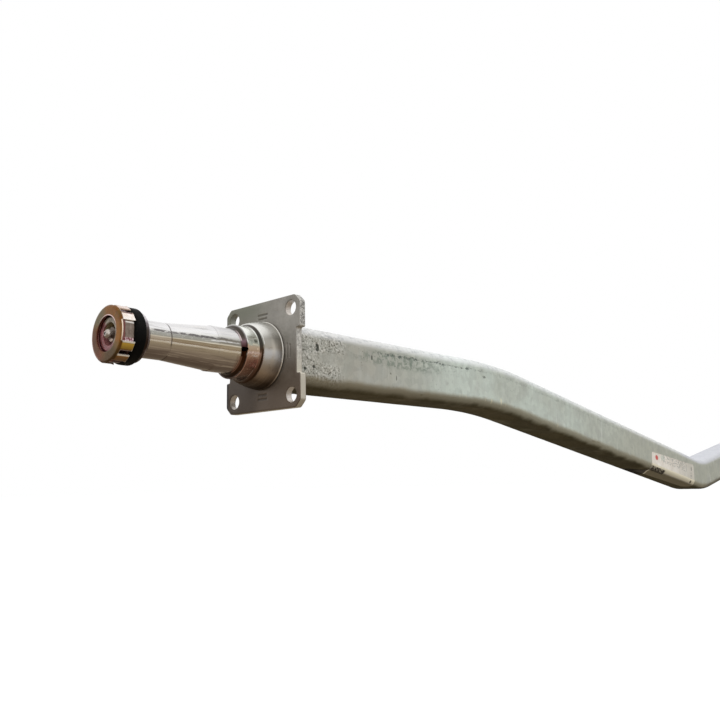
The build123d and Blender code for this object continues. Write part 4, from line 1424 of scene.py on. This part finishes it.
def make_cup(end):
    """The pressed cup: a sheet with its openings left out, then given its thickness and soft edges."""
    foot = cup_back + 0.1
    flare, flare_height, flare_width = 0.55, 2.2, 7
    window_half = cup_window[0] / 2
    angles, outline = cup_angles(), cup_outline(foot)
    count = len(angles)
    points, faces = [], []
    for outboard, r in outline:
        # The fingers' tips are flared a little beside the wide windows
        tip = max(0.0, 1 - (outboard - foot) / flare_height)
        for degrees in angles:
            beside = abs(turned_from(degrees, 0) - window_half)
            wide = r + flare * tip * tip * max(0.0, 1 - beside / flare_width)
            points.append((outboard, -wide * cos(radians(degrees)), wide * sin(radians(degrees))))
    for i in range(len(outline) - 1):
        outboard = (outline[i][0] + outline[i + 1][0]) / 2
        for j, degrees in enumerate(angles):
            k = (j + 1) % count
            middle = degrees + (angles[k] - degrees) % 360 / 2
            if not in_opening(outboard, middle):
                faces.append([i * count + j, i * count + k, (i + 1) * count + k, (i + 1) * count + j])
    new = {v: n for n, v in enumerate(sorted({v for face in faces for v in face}))}
    points = [points[v] for v in new]
    faces = [[new[v] for v in face] for face in faces]
    piece = make_piece("pressed_cup", "nut_retainer", "yellow_zinc", points, faces, end)
    ready_sheet(piece)
    thick = piece.modifiers.new("sheet", "SOLIDIFY")
    thick.thickness = 1.0 * MM
    thick.offset = -1
    thick.use_even_offset = True
    round_off = piece.modifiers.new("edges", "BEVEL")
    round_off.width = 0.16 * MM
    round_off.segments = 2
    round_off.limit_method = "ANGLE"
    round_off.angle_limit = radians(50)
    apply_modifiers(piece, 35)


def ready_sheet(piece):
    """Turns an open sheet's faces outwards, and sets the attribute rim to 1 where the sheet ends."""
    work = bmesh.new()
    work.from_mesh(piece.data)
    total = 0.0
    for face in work.faces:
        middle = face.calc_center_median()
        total += face.normal.dot(Vector((0, middle.y, middle.z))) * face.calc_area()
    if total < 0:
        bmesh.ops.reverse_faces(work, faces=work.faces)
    rim = work.verts.layers.float.new("rim")
    for vert in work.verts:
        vert[rim] = float(vert.is_boundary)
    work.to_mesh(piece.data)
    work.free()


def make_fitting(end):
    """Threaded shank, hexagon, neck and ball-shaped head with its mouth."""
    seat, hex_end, head_start = socket_end, 132.8, 133.5
    flat, corner, shank = 4.75, 5.36, 4.8
    neck, head_radius, tip_radius = 2.3, 3.25, 1.7
    mouth, chamber, passage = 0.9, 1.5, 0.8
    profile = [
        (fitting_back, passage), (fitting_back, shank - 0.5), (fitting_back + 0.6, shank), (seat, shank),
        (seat, corner - 0.3), (seat + 0.3, corner), (hex_end - 0.4, corner), (hex_end, corner - 0.5),
        (hex_end, neck), (head_start, neck),
    ]
    profile = refine(soften(profile, 0.15, 2), 0.5)
    middle = (head_start + fitting_tip) / 2
    half = (fitting_tip - head_start) / 2
    for k in range(1, 17):
        t = k / 16
        bulge = (head_radius - (neck + tip_radius) / 2) * cos(pi * t - pi / 2)
        profile.append((middle + half * (2 * t - 1), neck * (1 - t) + tip_radius * t + bulge))
    profile += [
        (fitting_tip, tip_radius - 0.25), (fitting_tip, mouth + 0.1), (fitting_tip - 0.15, mouth),
        (fitting_tip - 0.6, mouth), (fitting_tip - 0.6, chamber), (fitting_tip - 9.6, chamber),
        (fitting_tip - 9.6, passage),
    ]

    def hexagon(outboard, r, angle):
        on_hexagon = seat + 0.01 < outboard < hex_end + 0.01 and r > 3.5
        return hexagon_radius(flat, r, angle) if on_hexagon else r

    shape = revolved(profile, 96, True, hexagon)
    make_piece("grease_nipple", "grease_fitting", "fitting_steel", *shape, end, sharp=30)


def finish_hidden_parts(end):
    """The ball and spring inside the fitting keep their solids and take a finish."""
    for node, finish in (("check_ball", "ball_steel"), ("check_spring", "spring_steel")):
        for material_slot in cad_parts[end + "_" + node].material_slots:
            material_slot.material = finishes[finish]


make_beam()
make_label()
for end in ("left", "right"):
    make_flange(end)
    make_welds(end)
    make_spindle(end)
    make_washer(end)
    make_rubber_ring(end)
    make_nut(end)
    make_cup(end)
    make_fitting(end)
    finish_hidden_parts(end)


# The studio, in metres

FLOOR = -0.36


def seen_or_not(nodes, seen, unseen):
    """One shader where rays see or mirror it, and another for the light it throws on the axle."""
    path = nodes.add("LightPath", {}).outputs
    direct = nodes.most(path["Is Camera Ray"], path["Is Glossy Ray"], path["Is Transmission Ray"])
    return nodes.out("MixShader", {0: direct, 1: unseen, 2: seen})


def level_sheet(name, material, low_x, high_x, half_y, height):
    mesh = bpy.data.meshes.new(name)
    corners = (low_x, -half_y), (high_x, -half_y), (high_x, half_y), (low_x, half_y)
    mesh.from_pydata([(x, y, height) for x, y in corners], [], [[0, 1, 2, 3]])
    mesh.materials.append(material)
    sheet = linked(name, mesh)
    return sheet


def make_floor():
    """A pale floor. What sees it directly gets it near white, with the axle's shadow kept."""
    material = bpy.data.materials.new("pale_floor")
    nodes = Nodes(material)
    ground = nodes.out("BsdfDiffuse", {"Color": (0.16, 0.14, 0.11, 1)})
    pale = nodes.out("BsdfDiffuse", {"Color": (0.5, 0.5, 0.5, 1)})
    glow = nodes.out("Emission", {"Color": (1, 1, 1, 1), "Strength": 0.55})
    bright = nodes.out("AddShader", {0: pale, 1: glow})
    nodes.add("OutputMaterial", {0: seen_or_not(nodes, bright, ground)})
    level_sheet("studio_floor", material, -40.0, 40.0, 40.0, FLOOR)


def make_ground_card():
    """A coloured card that only shows in the steel's reflections, as a photographer's flag does."""
    material = bpy.data.materials.new("ground_card")
    nodes = Nodes(material)
    nodes.add("OutputMaterial", {0: nodes.out("Emission", {"Color": GROUND_CARD, "Strength": 1.0})})
    card = level_sheet("ground_card", material, -6, 8, 6, FLOOR + 0.02)
    card.visible_camera = False
    card.visible_diffuse = False
    card.visible_shadow = False
    card.visible_transmission = False


def make_world():
    """White where it is seen or mirrored, and a soft sky for the light on the axle."""
    world = bpy.data.worlds.new("studio")
    bpy.context.scene.world = world
    nodes = Nodes(world)
    way = nodes.add("TexCoord", {}).outputs["Generated"]
    upward = nodes.add("SeparateXYZ", {0: way}).outputs[2]
    strength = nodes.out("MapRange", {0: upward, 1: 0.0, 2: 1.0, 3: 0.55, 4: 1.15})
    sky = nodes.out("Background", {"Color": (0.97, 0.99, 1.0, 1), "Strength": strength})
    white = nodes.out("Background", {"Color": (1, 1, 1, 1), "Strength": 1.0})
    nodes.add("OutputWorld", {0: seen_or_not(nodes, white, sky)})


def make_lamp(name, at, look_at, width, height, power):
    light = bpy.data.lights.new(name, "AREA")
    light.shape = "RECTANGLE"
    light.size = width
    light.size_y = height
    light.energy = power
    lamp = linked(name, light)
    lamp.location = at
    lamp.visible_glossy = False
    lamp.rotation_euler = (Vector(look_at) - Vector(at)).to_track_quat("-Z", "Y").to_euler()


def make_camera():
    """The photograph's camera, fitted to the left flange, the spindle and the tube's edges."""
    focal_pixels, frame_pixels, sensor = 746.03, 720.0, 36.0
    yaw, pitch, roll = radians(48.54), radians(9.46), radians(-1.35)
    spot = Vector((-391.5 - half_span, -451.7, -103.7)) * MM
    forward = Vector((cos(pitch) * sin(yaw), cos(pitch) * cos(yaw), sin(pitch)))
    right = Vector((cos(yaw), -sin(yaw), 0))
    up = right.cross(forward)
    right_rolled = right * cos(roll) + up * sin(roll)
    up_rolled = up * cos(roll) - right * sin(roll)
    turn = Matrix((right_rolled, up_rolled, -forward)).transposed()
    data = bpy.data.cameras.new("camera")
    data.sensor_width = sensor
    data.lens = sensor * focal_pixels / frame_pixels
    data.clip_start = 0.01
    data.clip_end = 100
    camera = linked("camera", data)
    camera.matrix_world = Matrix.Translation(spot) @ turn.to_4x4()
    bpy.context.scene.camera = camera


make_floor()
make_world()
make_ground_card()
make_lamp("overhead", (-0.9, -0.5, 1.5), (-0.8, 0, 0), 2.6, 1.2, 26)
make_lamp("front_left", (-2.6, -1.6, 0.9), (-1.0, 0, 0), 1.4, 1.4, 16)
make_camera()
bpy.context.scene.view_settings.view_transform = "Standard"
